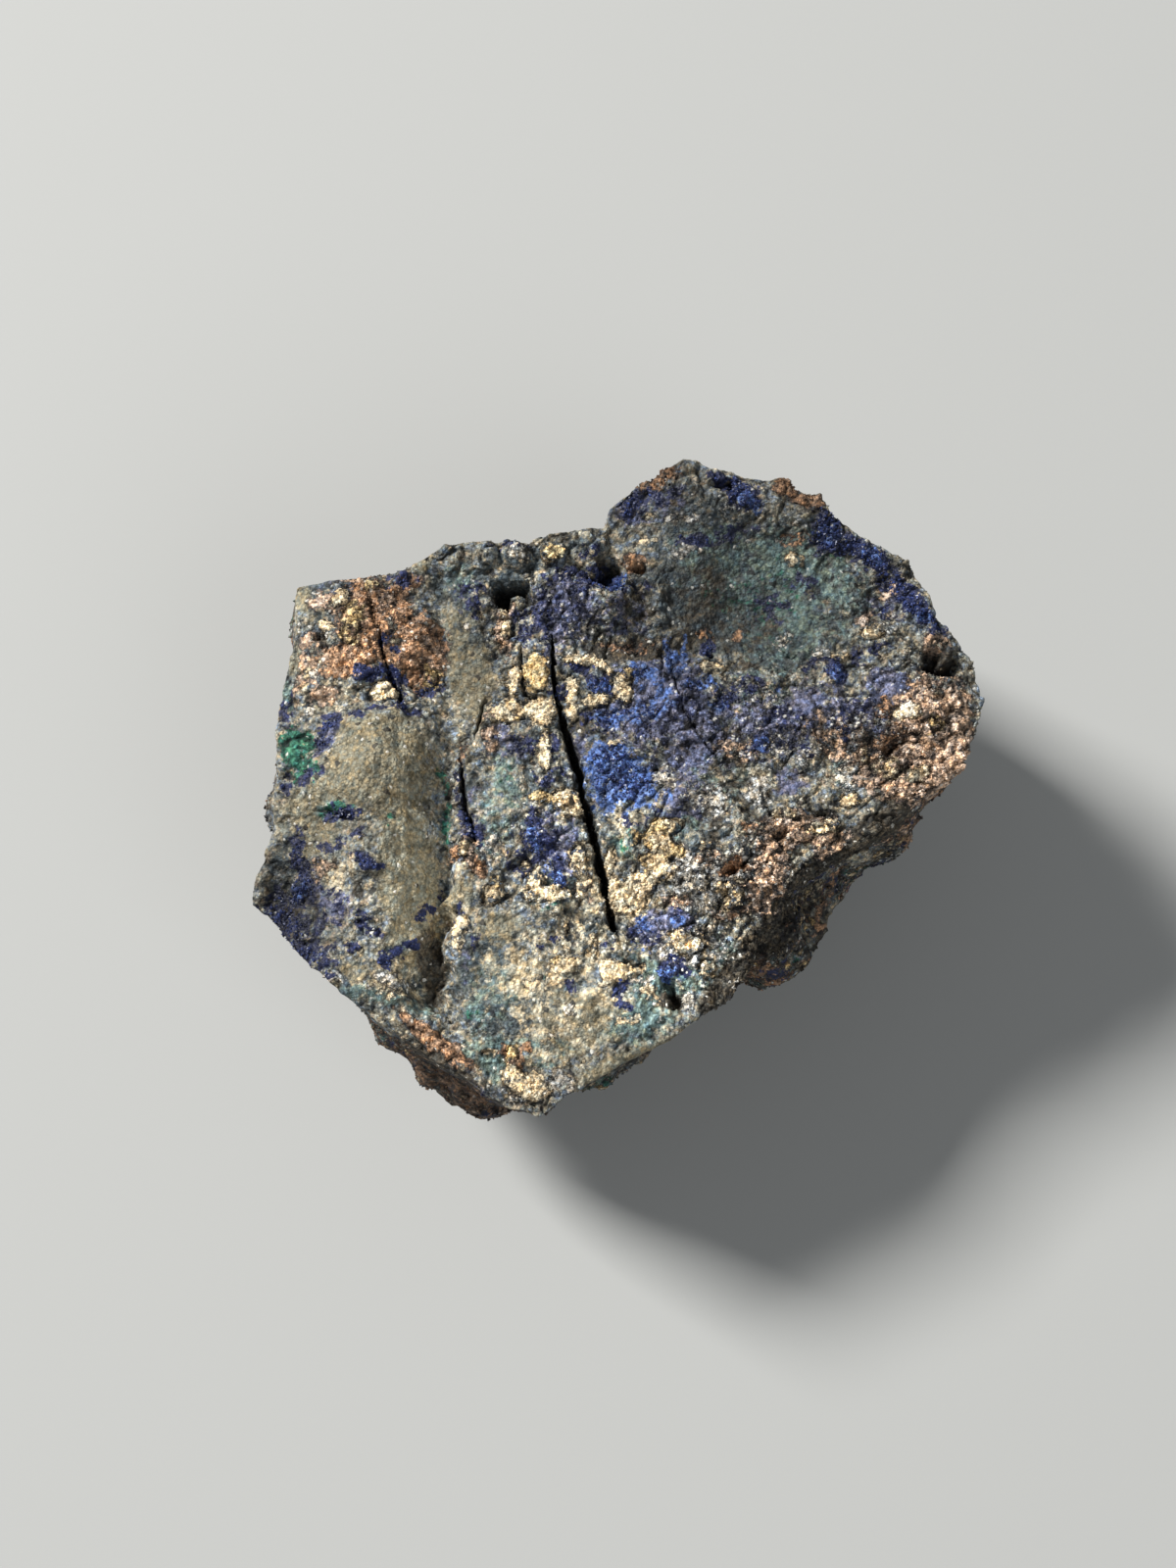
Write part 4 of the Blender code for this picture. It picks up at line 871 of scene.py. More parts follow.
def mesh_piece(name, points, triangles, material, normals=None):
    """One mesh object of triangles that rides on the rock, with its points given in millimetres.

    It is flat shaded, unless it is given a normal for each point.
    """
    points = np.clip(points, np.array(cad_box[0]) / MM, np.array(cad_box[1]) / MM)
    mesh = bpy.data.meshes.new(name)
    mesh.vertices.add(len(points))
    mesh.vertices.foreach_set("co", (points * MM).astype(np.float32).ravel())
    mesh.loops.add(triangles.size)
    mesh.loops.foreach_set("vertex_index", triangles.astype(np.int32).ravel())
    mesh.polygons.add(len(triangles))
    mesh.polygons.foreach_set("loop_start", np.arange(0, triangles.size, 3, dtype=np.int32))
    mesh.polygons.foreach_set("use_smooth", np.full(len(triangles), normals is not None))
    mesh.materials.append(material)
    mesh.update(calc_edges=True)
    mesh.validate()
    if normals is not None:
        mesh.normals_split_custom_set_from_vertices(normals.astype(np.float32))
    piece = bpy.data.objects.new(name, mesh)
    bpy.context.scene.collection.objects.link(piece)
    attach(piece, "root")
    return piece


def keep_shade(piece, shade):
    """Keeps the shade of each point of a piece, for its material to read."""
    attribute = piece.data.attributes.new("shade", "FLOAT", "POINT")
    attribute.data.foreach_set("value", shade.astype(np.float32))


# Minerals whose shares are kept together, four to a colour attribute.
SHARE_ATTRIBUTES = [
    ("granular", "smooth", "olive", "slate"), ("sand", "violet", "teal", "shadow"),
    ("pale", "malachite", "rust", "pink"), ("azurite", "royal", "ochre", "cream"),
]  # fmt: skip


def dress(piece, shares, shade):
    """Keeps the mineral shares and the shade at each point of a piece, for its material to read."""
    for number, names in enumerate(SHARE_ATTRIBUTES):
        attribute = piece.data.attributes.new(f"shares_{number}", "FLOAT_COLOR", "POINT")
        values = np.stack([shares[name] for name in names], axis=1)
        attribute.data.foreach_set("color", values.astype(np.float32).ravel())
    keep_shade(piece, shade)


class Finish:
    """The nodes of one material. Each method adds a node and gives back its result."""

    def __init__(self, name, roughness=None, specular=None):
        self.material = bpy.data.materials.new(name)
        self.material.use_nodes = True
        self.tree = self.material.node_tree
        self.shader = self.tree.nodes["Principled BSDF"]
        if roughness is not None:
            self.shader.inputs["Roughness"].default_value = roughness
        if specular is not None:
            self.shader.inputs["Specular IOR Level"].default_value = specular

    def node(self, kind, inputs=None, **settings):
        """Adds a shader node, sets its settings, then links or sets each input."""
        node = self.tree.nodes.new(kind)
        for name, value in settings.items():
            setattr(node, name, value)
        for name, value in (inputs or {}).items():
            if isinstance(value, bpy.types.NodeSocket):
                self.tree.links.new(value, node.inputs[name])
            else:
                node.inputs[name].default_value = value
        return node

    def give(self, name, value):
        """Links a result to one of the shader's inputs."""
        self.tree.links.new(value, self.shader.inputs[name])

    def attribute(self, name):
        """Reads an attribute that the piece keeps at its points."""
        return self.node("ShaderNodeAttribute", attribute_name=name).outputs

    def maths(self, operation, first, second=0.5, clamp=False):
        """One Math node's result."""
        inputs = {0: first, 1: second}
        return self.node("ShaderNodeMath", inputs, operation=operation, use_clamp=clamp).outputs[0]

    def plus(self, first, second):
        """A sum."""
        return self.maths("ADD", first, second)

    def minus(self, first, second):
        """A difference."""
        return self.maths("SUBTRACT", first, second)

    def times(self, first, second):
        """A product."""
        return self.maths("MULTIPLY", first, second)

    def blend(self, factor, first, second, kind="MIX"):
        """Two colours blended by a factor."""
        inputs = {0: factor}
        for socket, value in ((6, first), (7, second)):
            inputs[socket] = value if isinstance(value, bpy.types.NodeSocket) else (*value, 1)
        return self.node("ShaderNodeMix", inputs, data_type="RGBA", blend_type=kind).outputs[2]

    def dye(self, colour, factor):
        """A colour multiplied by a number or by another colour."""
        return self.blend(1.0, colour, factor, "MULTIPLY")

    def spread(self, value, low, high, to_low=0.0, to_high=1.0):
        """A value's range from low to high, stretched to another range and clamped."""
        inputs = {"Value": value, "From Min": low, "From Max": high, "To Min": to_low, "To Max": to_high}
        return self.node("ShaderNodeMapRange", inputs, clamp=True).outputs[0]

    def between(self, factor, first, second):
        """A number that goes from the first to the second as the factor goes from 0 to 1."""
        return self.node("ShaderNodeMix", {0: factor, 2: first, 3: second}, data_type="FLOAT").outputs[0]

    def move(self, operation, place, by):
        """A place moved, or multiplied, by a vector."""
        return self.node("ShaderNodeVectorMath", {0: place, 1: by}, operation=operation).outputs[0]

    def noise(self, place, size, detail, roughness=0.5):
        """Cloudy noise of one size in millimetres."""
        inputs = {"Vector": place, "Scale": 1 / (size * MM), "Detail": detail, "Roughness": roughness}
        return self.node("ShaderNodeTexNoise", inputs).outputs

    def split(self, colour):
        """The three parts of a colour."""
        return self.node("ShaderNodeSeparateColor", {0: colour}).outputs[:3]

    def cells(self, place, size, seed):
        """Grains of one size: three random numbers for each grain, and the distance from its middle."""
        shifted = self.move("ADD", place, (seed, seed * 0.7, seed * 1.3))
        inputs = {"Vector": shifted, "Scale": 1 / (size * MM)}
        grain = self.node("ShaderNodeTexVoronoi", inputs, voronoi_dimensions="3D", feature="F1")
        return *self.split(grain.outputs["Color"]), grain.outputs["Distance"]


GRAIN_SIZE = 0.55  # usual size of a grain of the rock
SPECK_SIZE = 0.30  # size of the finest specks
WOBBLE_SIZE, WOBBLE_REACH = 0.4, 0.3  # how the grains' outlines wobble
THREAD_SIZE = 0.6  # spacing of the finest winding crevices and pale threads
CLOUDS = [(1.6, 0.0), (1.2, 7.0), (0.9, 13.0), (1.1, 21.0), (1.0, 33.0)]  # size, shift: each is three noises
BUMP_HEIGHT = 0.2  # height of the grains that are too fine for the mesh

COOL_GRAIN, WARM_GRAIN = (0.82, 1.00, 1.24), (1.20, 1.00, 0.76)  # factors on the colour of single grains
RIM_COLOUR = (0.012, 0.012, 0.016)  # dark line round the pale and rusty crusts
# Painted shade of tiny pores, nearly black, and a painted glint for quartz facets.
PAINTED_PORE_SHADE = (0.012, 0.012, 0.014)
GLINT_COLOUR = (0.70, 0.68, 0.62)  # painted glint: quartz facets catching the light

# The bare rock's dark colour, and its light colour where it is bluish, olive and tan.
BARE_ROCK = (0.022, 0.024, 0.025)
BARE_TINTS = ((0.265, 0.320, 0.385), (0.410, 0.395, 0.305), (0.600, 0.490, 0.360))

# Minerals from the ground up: a dark and a light colour, how ragged its outline is, and how soft its edge is.
MINERALS = {
    "olive": ((0.090, 0.084, 0.056), (0.310, 0.280, 0.195), 0.40, 0.20),
    "slate": ((0.010, 0.015, 0.016), (0.125, 0.150, 0.155), 0.90, 0.20),
    "sand": ((0.110, 0.098, 0.064), (0.780, 0.680, 0.480), 1.00, 0.20),
    "violet": ((0.007, 0.009, 0.022), (0.220, 0.236, 0.360), 0.90, 0.22),
    "teal": ((0.018, 0.036, 0.036), (0.235, 0.325, 0.295), 0.90, 0.30),
    # shadow: painted shadow, and dark brown ground in places.
    "shadow": ((0.006, 0.005, 0.004), (0.125, 0.108, 0.080), 0.50, 0.20),
    "pale": ((0.150, 0.145, 0.125), (0.900, 0.860, 0.770), 1.00, 0.20),
    "malachite": ((0.003, 0.024, 0.016), (0.060, 0.225, 0.155), 1.10, 0.18),
    "rust": ((0.050, 0.020, 0.008), (0.655, 0.400, 0.238), 0.85, 0.18),
    "pink": ((0.150, 0.088, 0.055), (0.930, 0.680, 0.490), 1.00, 0.22),
    "azurite": ((0.0008, 0.0015, 0.005), (0.036, 0.046, 0.125), 1.60, 0.12),
    "royal": ((0.006, 0.015, 0.058), (0.140, 0.250, 0.600), 1.10, 0.18),
    "ochre": ((0.220, 0.120, 0.035), (1.000, 0.800, 0.440), 1.10, 0.26),
    "cream": ((0.180, 0.130, 0.070), (0.960, 0.800, 0.540), 0.95, 0.17),
}


def mineral_layers(look, colour, mixed, noises, shares):
    """Lays each mineral over the colour so far, and gives the colour and how blue the ground is.

    A mineral covers the ground where its share, raised or lowered by a noise, passes one half. Its own colour
    goes from dark to light with the mixed tone.
    """
    blue = None
    for noise, (name, (dark, light, ragged, soft)) in zip(noises, MINERALS.items()):
        raised = look.times(look.spread(noise, 0.28, 0.72, -1.0, 1.0), ragged)
        raised = look.times(raised, look.spread(shares[name], 0.02, 0.22))
        level = look.plus(shares[name], raised)
        cover = look.spread(level, 0.5 - soft, 0.5 + soft)
        if name in ("rust", "pink", "ochre", "cream", "pale"):
            rim = look.spread(level, 0.5 - soft - 0.25, 0.5 - soft, 0.0, 0.85)
            colour = look.blend(rim, colour, RIM_COLOUR)
        colour = look.blend(cover, colour, look.blend(mixed, dark, light))
        if name in ("azurite", "royal"):
            blue = cover if blue is None else look.maths("MAXIMUM", blue, cover)
    return colour, blue


def rock_material():
    """Crusts on rock: the bare rock, the minerals over it, then a tint, painted shade in the gaps and painted
    sparkle for single grains.

    Every colour goes from its dark to its light one with a tone that is random from grain to grain.
    """
    look = Finish("granular_copper_rock", specular=0.3)
    place = look.node("ShaderNodeTexCoord").outputs["Object"]
    wobble = look.noise(place, WOBBLE_SIZE, 2.0)["Color"]
    ragged_place = look.move("ADD", place, look.move("MULTIPLY", wobble, [WOBBLE_REACH * MM] * 3))

    shares = {}
    for number, names in enumerate(SHARE_ATTRIBUTES):
        kept = look.attribute(f"shares_{number}")
        shares.update(zip(names, [*look.split(kept["Color"]), kept["Alpha"]]))
    noises = []
    for size, shift in CLOUDS:
        noises += look.split(look.noise(look.move("ADD", place, [shift] * 3), size, 5.0, 0.68)["Color"])
    *_, warm_cloud, tint_cloud, tone_cloud = noises

    # Tone: cloudy where the ground is smooth, random from grain to grain where it is granular.
    thread = look.noise(place, THREAD_SIZE, 2.0)
    tone, pick, other, distance = look.cells(ragged_place, GRAIN_SIZE, 0.0)
    fine_tone, fine_pick, fine_other, fine_distance = look.cells(ragged_place, SPECK_SIZE, 3.0)
    grainy = look.spread(look.minus(shares["granular"], shares["smooth"]), -0.8, 1.0, 0.30, 0.75)
    cell_tone = look.plus(look.times(tone, 0.5), look.times(fine_tone, 0.5))
    mixed = look.between(grainy, look.spread(tone_cloud, 0.32, 0.68), cell_tone)
    speck = look.times(look.minus(fine_other, 0.5), look.between(grainy, 0.25, 0.55))
    mixed = look.spread(look.maths("ADD", mixed, speck, clamp=True), 0.04, 0.80)

    bluish, olive, tan = BARE_TINTS
    light = look.blend(look.spread(tint_cloud, 0.40, 0.50), bluish, olive)
    light = look.blend(look.spread(tint_cloud, 0.53, 0.62), light, tan)
    colour = look.blend(mixed, BARE_ROCK, light)
    colour, blue = mineral_layers(look, colour, mixed, noises, shares)

    # Single grains: a cool or warm tint, painted shade in the gaps between them with lighter middles, painted
    # shade in thin crevices, and pale threads.
    warmth = look.plus(look.times(other, 0.45), look.times(fine_tone, 0.25))
    warmth = look.plus(warmth, look.times(look.spread(warm_cloud, 0.30, 0.70), 0.45))
    colour = look.dye(colour, look.blend(look.spread(warmth, 0.15, 1.0), COOL_GRAIN, WARM_GRAIN))
    for gap, edge, floor in ((distance, 1.2, 0.55), (fine_distance, 1.15, 0.6)):
        colour = look.dye(colour, look.between(grainy, 1.0, look.spread(gap, 0.35, 0.62, edge, floor)))
    winding = look.maths("ABSOLUTE", look.minus(thread[0], 0.5))
    crevice = look.spread(winding, 0.0, 0.06, look.between(grainy, 0.75, 0.45), 1.0)
    colour = look.dye(colour, crevice)
    pale_thread = look.maths("ABSOLUTE", look.minus(thread["Color"], 0.5))
    colour = look.dye(colour, look.spread(pale_thread, 0.0, 0.045, 1.3, 1.0))

    # A few grains are nearly black, painted shade of pores, or bright painted glints, more of them where the
    # ground is granular.
    painted_pore_share = look.spread(shares["granular"], 0.0, 1.2, 0.02, 0.10)
    painted_pore = look.times(look.maths("LESS_THAN", pick, painted_pore_share), 0.8)
    colour = look.blend(look.times(painted_pore, look.minus(1.0, blue)), colour, PAINTED_PORE_SHADE)
    glint_share = look.spread(shares["granular"], 0.0, 1.2, 0.008, 0.025)
    is_glint = look.times(look.maths("LESS_THAN", fine_pick, glint_share), 0.6)
    colour = look.blend(is_glint, colour, GLINT_COLOUR)
    # The kept shade is painted light and shade, multiplied into the colour.
    look.give("Base Color", look.dye(colour, look.attribute("shade")["Fac"]))

    gloss = look.spread(fine_other, 0.0, 1.0, 0.70, 1.0)
    look.give("Roughness", look.minus(gloss, look.times(blue, 0.25)))
    heights = look.plus(look.spread(distance, 0.0, 0.7, 1.0, 0.0), look.times(tone, 0.8))
    heights = look.plus(heights, look.times(look.spread(fine_distance, 0.0, 0.7, 1.0, 0.0), 0.5))
    heights = look.plus(heights, look.times(crevice, 0.7))
    inputs = {"Height": heights, "Strength": 0.8, "Distance": BUMP_HEIGHT * MM}
    look.give("Normal", look.node("ShaderNodeBump", inputs).outputs[0])
    return look.material


# Broad parts of the face whose ground is darker (below 1) or lighter. Some are the ground's own tone; some
# are
# painted light and shade: the lobe's flank lightened against its shading, the front left edge darkened as
# if in shadow. Each: middle x, y, reach along, across, turn in degrees and factor.
TONES = {
    "back_right_hollow": (13.5, 20.0, 14.0, 10.0, 0, 0.44),
    "back_ridge": (9.0, 31.0, 15.0, 4.0, -10, 0.56),
    "back_slope": (5.0, 27.0, 9.0, 3.2, 0, 0.80),
    "back_left_cap": (3.6, 34.8, 3.4, 1.8, 0, 0.45),
    "back_right_cap": (19.0, 33.4, 4.2, 2.0, -20, 0.45),
    "back_right_rim": (26.3, 24.9, 11.8, 2.8, -42, 0.90),
    "bench_back_edge": (-16.0, 25.5, 10.0, 2.2, 8, 0.75),
    "bench": (-27.5, 12.5, 7.0, 3.4, 0, 1.34),
    "right_bank_front": (18.5, -6.0, 5.0, 4.5, 0, 1.20),
    "right_bank_back": (30.5, 5.5, 5.5, 5.5, 0, 1.10),
    "left_lobe_top": (-27.0, 1.0, 6.0, 6.5, 0, 0.88),
    "left_lobe_front": (-31.0, -8.0, 5.0, 5.0, 0, 0.74),
    "left_lobe_low": (-27.5, -15.5, 5.0, 4.5, 30, 1.20),
    "left_lobe_flank_painted_light": (-22.0, -12.0, 2.8, 9.5, 0, 1.88),
    "front_left_edge_painted_shadow": (-35.0, -12.5, 3.6, 9.0, 35, 0.32),
    "teal_strip": (-13.2, -1.0, 2.4, 4.2, 0, 0.78),
    "violet_ribs": (4.0, 9.5, 4.5, 5.0, 0, 0.86),
    "rust_bench": (-25.5, 16.5, 8.0, 6.0, 0, 1.06),
    "streak": (-17.0, 13.0, 3.0, 8.0, 10, 0.54),
    "left_of_fissure": (-8.5, -6.5, 4.6, 5.8, 0, 1.90),
    "front_middle": (-11.5, -15.5, 5.0, 6.0, 0, 0.97),
    "front_left_of_fissure": (-5.0, -15.0, 5.0, 4.5, 0, 1.30),
    "front_tip": (-8.0, -27.0, 9.0, 4.5, 0, 0.84),
    "front_right_bumps": (9.5, -13.0, 9.0, 6.0, 25, 1.48),
    "ochre_fan": (2.6, -7.5, 3.0, 3.0, 0, 1.10),
    "front_right_end": (5.5, -19.5, 5.5, 5.0, 0, 1.44),
    "front_right_flank": (19.0, -14.0, 12.0, 4.5, 38, 0.85),
}  # fmt: skip


def ground_shade(points, height, crevice, crack, pit):
    """Painted light and shade of the ground: lighter on the tops and ridges, painted shade with some dirt in
    recesses and crevices, and painted shade in cracks and pits.

    Each broad tone multiplies it by its factor, which fades out round its ellipse.
    """
    in_recess = 1 - smooth_step(-1.0, 0.35, height)
    shade = (1.32 - 0.70 * in_recess) * (1 - 0.80 * crevice) * (1 - 0.8 * smooth_step(0.1, 0.8, crack))
    shade *= 1 - 0.75 * smooth_step(0.3, 2.4, pit)
    for *ellipse, factor in TONES.values():
        shade *= 1 + (factor - 1) * np.exp(-(ellipse_distance(points[:, 0], points[:, 1], ellipse) ** 1.5))
    return shade


ROCK_SINK = 1.2  # how far the rock's own face lies below the crusts
SKIRT_SHARE = 0.05  # share of the wall that the crusts reach down
REST_CLEARANCE = 1.5  # height above the rest from which the fine relief is full

# Rust stain on the front left wall, with painted shade that darkens it as if in shadow: middle x, y, reach
# along, across, turn. Then its rust and the painted shade.
STAINED_SHADED_WALL = (-18.0, -30.0, 10.0, 4.5, -38)
STAIN_RUST, WALL_PAINTED_SHADE = 0.7, 0.65

rock_points, rock_triangles, rock_down = lump_mesh_arrays()
rock_shares = mineral_shares(rock_points)
stain_and_shade = np.exp(-ellipse_distance(rock_points[:, 0], rock_points[:, 1], STAINED_SHADED_WALL))
stain_and_shade *= smooth_step(0.8 * SKIRT_SHARE, 2.5 * SKIRT_SHARE, rock_down)
rock_shares["rust"] += STAIN_RUST * stain_and_shade

rock_normals = point_normals(rock_points, rock_triangles)
fine_relief, rock_crevice = crust_relief(rock_points, rock_shares)
fine_relief = fine_relief * calmer_on_walls(rock_normals)
clear_of_rest = smooth_step(0.0, REST_CLEARANCE, rock_points[:, 2])
sunk = ROCK_SINK * (1 - smooth_step(0.05 * SKIRT_SHARE, 0.5 * SKIRT_SHARE, rock_down))
rock_points = rock_points + rock_normals * (fine_relief * clear_of_rest - sunk)[:, None]
upward = smooth_step(0.3, 0.7, rock_normals[:, 2]) * (rock_points[:, 2] > LOWEST_FACE)
rock_crack = crack_depth(rock_points[:, 0], rock_points[:, 1]) * upward
rock_pit = pit_depth(rock_points[:, 0], rock_points[:, 1]) * upward
rock_points[:, 2] -= np.maximum(rock_crack, rock_pit)
rock_points[:, 2] = np.clip(rock_points[:, 2], 0, None)

rock_look = rock_material()
rock_normals = point_normals(rock_points, rock_triangles)
rock = mesh_piece("azurite_rock", rock_points, rock_triangles, rock_look, rock_normals)
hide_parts("azurite_specimen")
rock_shade = ground_shade(rock_points, fine_relief, rock_crevice, rock_crack, rock_pit)
# The walls are a fifth darker below the crusts, and the stained wall darker still with painted shade.
rock_shade *= (1 - 0.2 * smooth_step(SKIRT_SHARE, 4 * SKIRT_SHARE, rock_down)) * (1 - WALL_PAINTED_SHADE * stain_and_shade)
dress(rock, rock_shares, rock_shade)

# ==== The mineral crusts of the face =======================================================================
# Azurite, malachite, limonite, quartz and clay that cover the whole face as a crust of packed grains, cut by
# crevices. Two closed sheets, left and right, follow the rock's face and dive into its walls below the edge.

CRUST_CELLS = 420  # cells across the face, about 0.17 mm each
SKIRT_ROWS = 8  # rows of cells from the edge of the face down to where the crusts end
DIVE = 1.6  # how deep the crusts' last row lies under the walls
HIDDEN_HEIGHT = 24.0  # height of the hidden underside of the crusts
HIDDEN_INSET = 5.0  # how far that underside stays inside their border

# Where fine ribs run: middle x, y, reach along, across, turn, strength. Then the ribs: sizes, height, seed.
RIBBED = {
    "right_flank_of_the_lobe": (-21.8, -11.0, 2.6, 11.0, 4, 1.0),
    "band_beside_the_trough": (-16.6, 12.0, 3.0, 8.0, 6, 0.8),
    "blue_ribs": (5.0, 12.0, 3.0, 5.0, 0, 1.2),
}
RIBS = [(np.array([0.8, 7.0, 7.0]), 0.22, 97), (np.array([0.4, 4.0, 4.0]), 0.11, 98)]


def streak_relief(points):
    """Fine ribs that run from back to front: a noise stretched that way, faded out round each ellipse."""
    x, y = points[:, 0], points[:, 1]
    where = sum(strength * np.exp(-ellipse_distance(x, y, ellipse)) for *ellipse, strength in RIBBED.values())
    return relief(gradient_noise, points, RIBS) * where


def closed_below(points, triangles):
    """Closes an open sheet: its border goes down and inwards to a hidden loop, fanned to one point."""
    edges = np.concatenate([triangles[:, [0, 1]], triangles[:, [1, 2]], triangles[:, [2, 0]]])
    key = edges.min(axis=1) * len(points) + edges.max(axis=1)
    _, first, uses = np.unique(key, return_index=True, return_counts=True)
    start, end = edges[first[uses == 1]].T
    rim = np.unique(start)
    hidden = points[rim].copy()
    middle = hidden.mean(axis=0)
    middle[2] = HIDDEN_HEIGHT
    outward = hidden[:, :2] - middle[:2]
    hidden[:, :2] -= HIDDEN_INSET * outward / np.linalg.norm(outward, axis=1, keepdims=True)
    hidden[:, 2] = HIDDEN_HEIGHT
    under = np.zeros(len(points), int)
    under[rim] = len(points) + np.arange(len(rim))
    centre = np.full(len(start), len(points) + len(rim))
    wall = [np.stack([end, start, under[start]], axis=1), np.stack([end, under[start], under[end]], axis=1)]
    fan = np.stack([under[end], under[start], centre], axis=1)
    return np.concatenate([points, hidden, [middle]]), np.concatenate([triangles, *wall, fan])


skirt_levels = SKIRT_SHARE * np.arange(1, SKIRT_ROWS + 1) / SKIRT_ROWS
crust_box, crust_triangles, _ = walled_box(CRUST_CELLS, skirt_levels)
crust_triangles = np.concatenate(crust_triangles)
crust_across, crust_down = crust_box[:, 0], (1 - crust_box[:, 2]) / 2
crust_points = lump_points(*crust_box.T)
crust_shares = mineral_shares(crust_points)
crust_normals = point_normals(crust_points, crust_triangles)
crust_height, crust_crevice = crust_relief(crust_points, crust_shares)
crust_height = (crust_height + streak_relief(crust_points)) * calmer_on_walls(crust_normals)
crust_dive = DIVE * smooth_step(0.45 * SKIRT_SHARE, SKIRT_SHARE, crust_down)
crust_points = crust_points + crust_normals * (crust_height - crust_dive)[:, None]
on_top = crust_down < 0.3 * SKIRT_SHARE
crust_crack = crack_depth(crust_points[:, 0], crust_points[:, 1]) * on_top
crust_pit = pit_depth(crust_points[:, 0], crust_points[:, 1]) * on_top
crust_points[:, 2] -= np.maximum(crust_crack, crust_pit)
crust_normals = point_normals(crust_points, crust_triangles)
crust_shade = ground_shade(crust_points, crust_height, crust_crevice, crust_crack, crust_pit)

for name, side in (("crust_left", -1), ("crust_right", 1)):
    own = crust_triangles[crust_across[crust_triangles].mean(axis=1) * side > 0]
    used, own = np.unique(own, return_inverse=True)
    points, triangles = closed_below(crust_points[used], own.reshape(-1, 3))
    extra = len(points) - len(used)
    normals = np.concatenate([crust_normals[used], np.tile([0.0, 0.0, -1.0], (extra, 1))])
    own_shares = {mineral: np.pad(share[used], (0, extra)) for mineral, share in crust_shares.items()}
    crust = mesh_piece(name, points, triangles, rock_look, normals)
    dress(crust, own_shares, np.pad(crust_shade[used], (0, extra)))

# ==== Grains of the crusts =================================================================================
# Grains of quartz, limonite and altered rock, 0.2 to 0.6 mm across, that stand half out of the ground they
# have grown on and take its minerals. Each has eight sides, and a piece is one mesh of thousands of them.

GRAIN_AXES = np.array([(1, 0, 0), (-1, 0, 0), (0, 1, 0), (0, -1, 0), (0, 0, 1), (0, 0, -1)], float)
GRAIN_FACES = np.array(
    [(0, 2, 4), (2, 1, 4), (1, 3, 4), (3, 0, 4), (2, 0, 5), (1, 2, 5), (3, 1, 5), (0, 3, 5)]
)  # fmt: skip
GRAIN_STRETCH, GRAIN_SUNK = 0.4, 0.35  # how uneven a grain is, and how much of its radius is sunk
MOSTLY_SMALL = 1.6  # power that makes most grains small
GRAIN_CLEARANCE = 0.3  # no grain comes nearer to the rest than this

# How many grains each piece has, its smallest and largest radius, and its darkest and lightest grain.
GRAIN_PIECES = {
    "small_grains": (9000, (0.09, 0.20), (0.75, 1.3)),
    "crust_grains": (12000, (0.09, 0.23), (0.85, 1.25)),
    "side_grains": (9000, (0.11, 0.30), (0.7, 1.3)),
}
random = np.random.default_rng(7)


def scatter(points, triangles, weight, count):
    """Places on a mesh: a triangle by its area times its weight, then a point uniform over that triangle."""
    corner = points[triangles]
    cross = np.cross(corner[:, 1] - corner[:, 0], corner[:, 2] - corner[:, 0])
    doubled_area = np.linalg.norm(cross, axis=1)
    chance = doubled_area * weight[triangles].mean(axis=1)
    picked = random.choice(len(triangles), count, p=chance / chance.sum())
    first, second = random.random((2, count, 1))
    folded = first + second > 1
    first, second = np.where(folded, 1 - first, first), np.where(folded, 1 - second, second)
    share = np.concatenate([1 - first - second, first, second], axis=1)
    place = np.einsum("nk,nkj->nj", share, corner[picked])
    return place, cross[picked] / doubled_area[picked, None], triangles[picked], share


def at_places(values, corners, share):
    """Values of a mesh's points, read at scattered places: a triangle's corners, each by its share."""
    return np.einsum("nk,nk->n", share, values[corners])


def grain_mesh(place, normal, radius, stretch, sunk):
    """An eight-sided grain at each place: six points on random crossed axes, each at its own distance."""
    count = len(place)
    first = random.normal(size=(count, 3))
    first /= np.linalg.norm(first, axis=1, keepdims=True)
    second = np.cross(first, random.normal(size=(count, 3)))
    second /= np.linalg.norm(second, axis=1, keepdims=True)
    basis = np.stack([first, second, np.cross(first, second)], axis=1)
    reach = radius[:, None] * random.uniform(1 - stretch, 1 + stretch, (count, 6))
    centre = place + normal * (radius * (0.5 - sunk))[:, None]
    points = centre[:, None] + np.einsum("nk,kj,nji->nki", reach, GRAIN_AXES, basis)
    triangles = (np.arange(count)[:, None, None] * 6 + GRAIN_FACES).reshape(-1, 3)
    return points.reshape(-1, 3), triangles


def rock_grains(name, ground, weight):
    """Grains in the rock's own material; each reads the minerals and painted shade of the ground under it."""
    count, (smallest, largest), brightness = GRAIN_PIECES[name]
    points, triangles, shares, shade = ground
    place, normal, *under = scatter(points, triangles, weight, count)
    radius = smallest * (largest / smallest) ** random.random(count) ** MOSTLY_SMALL
    points, triangles = grain_mesh(place, normal, radius, GRAIN_STRETCH, GRAIN_SUNK)
    points = points.reshape(-1, 6, 3)
    keep = points[:, :, 2].min(axis=1) > GRAIN_CLEARANCE
    piece = mesh_piece(name, points[keep].reshape(-1, 3), triangles[: 8 * keep.sum()], rock_look)
    own_shares = {mineral: np.repeat(at_places(share, *under)[keep], 6) for mineral, share in shares.items()}
    own_shade = at_places(shade, *under) * random.uniform(*brightness, count)
    dress(piece, own_shares, np.repeat(own_shade[keep], 6))


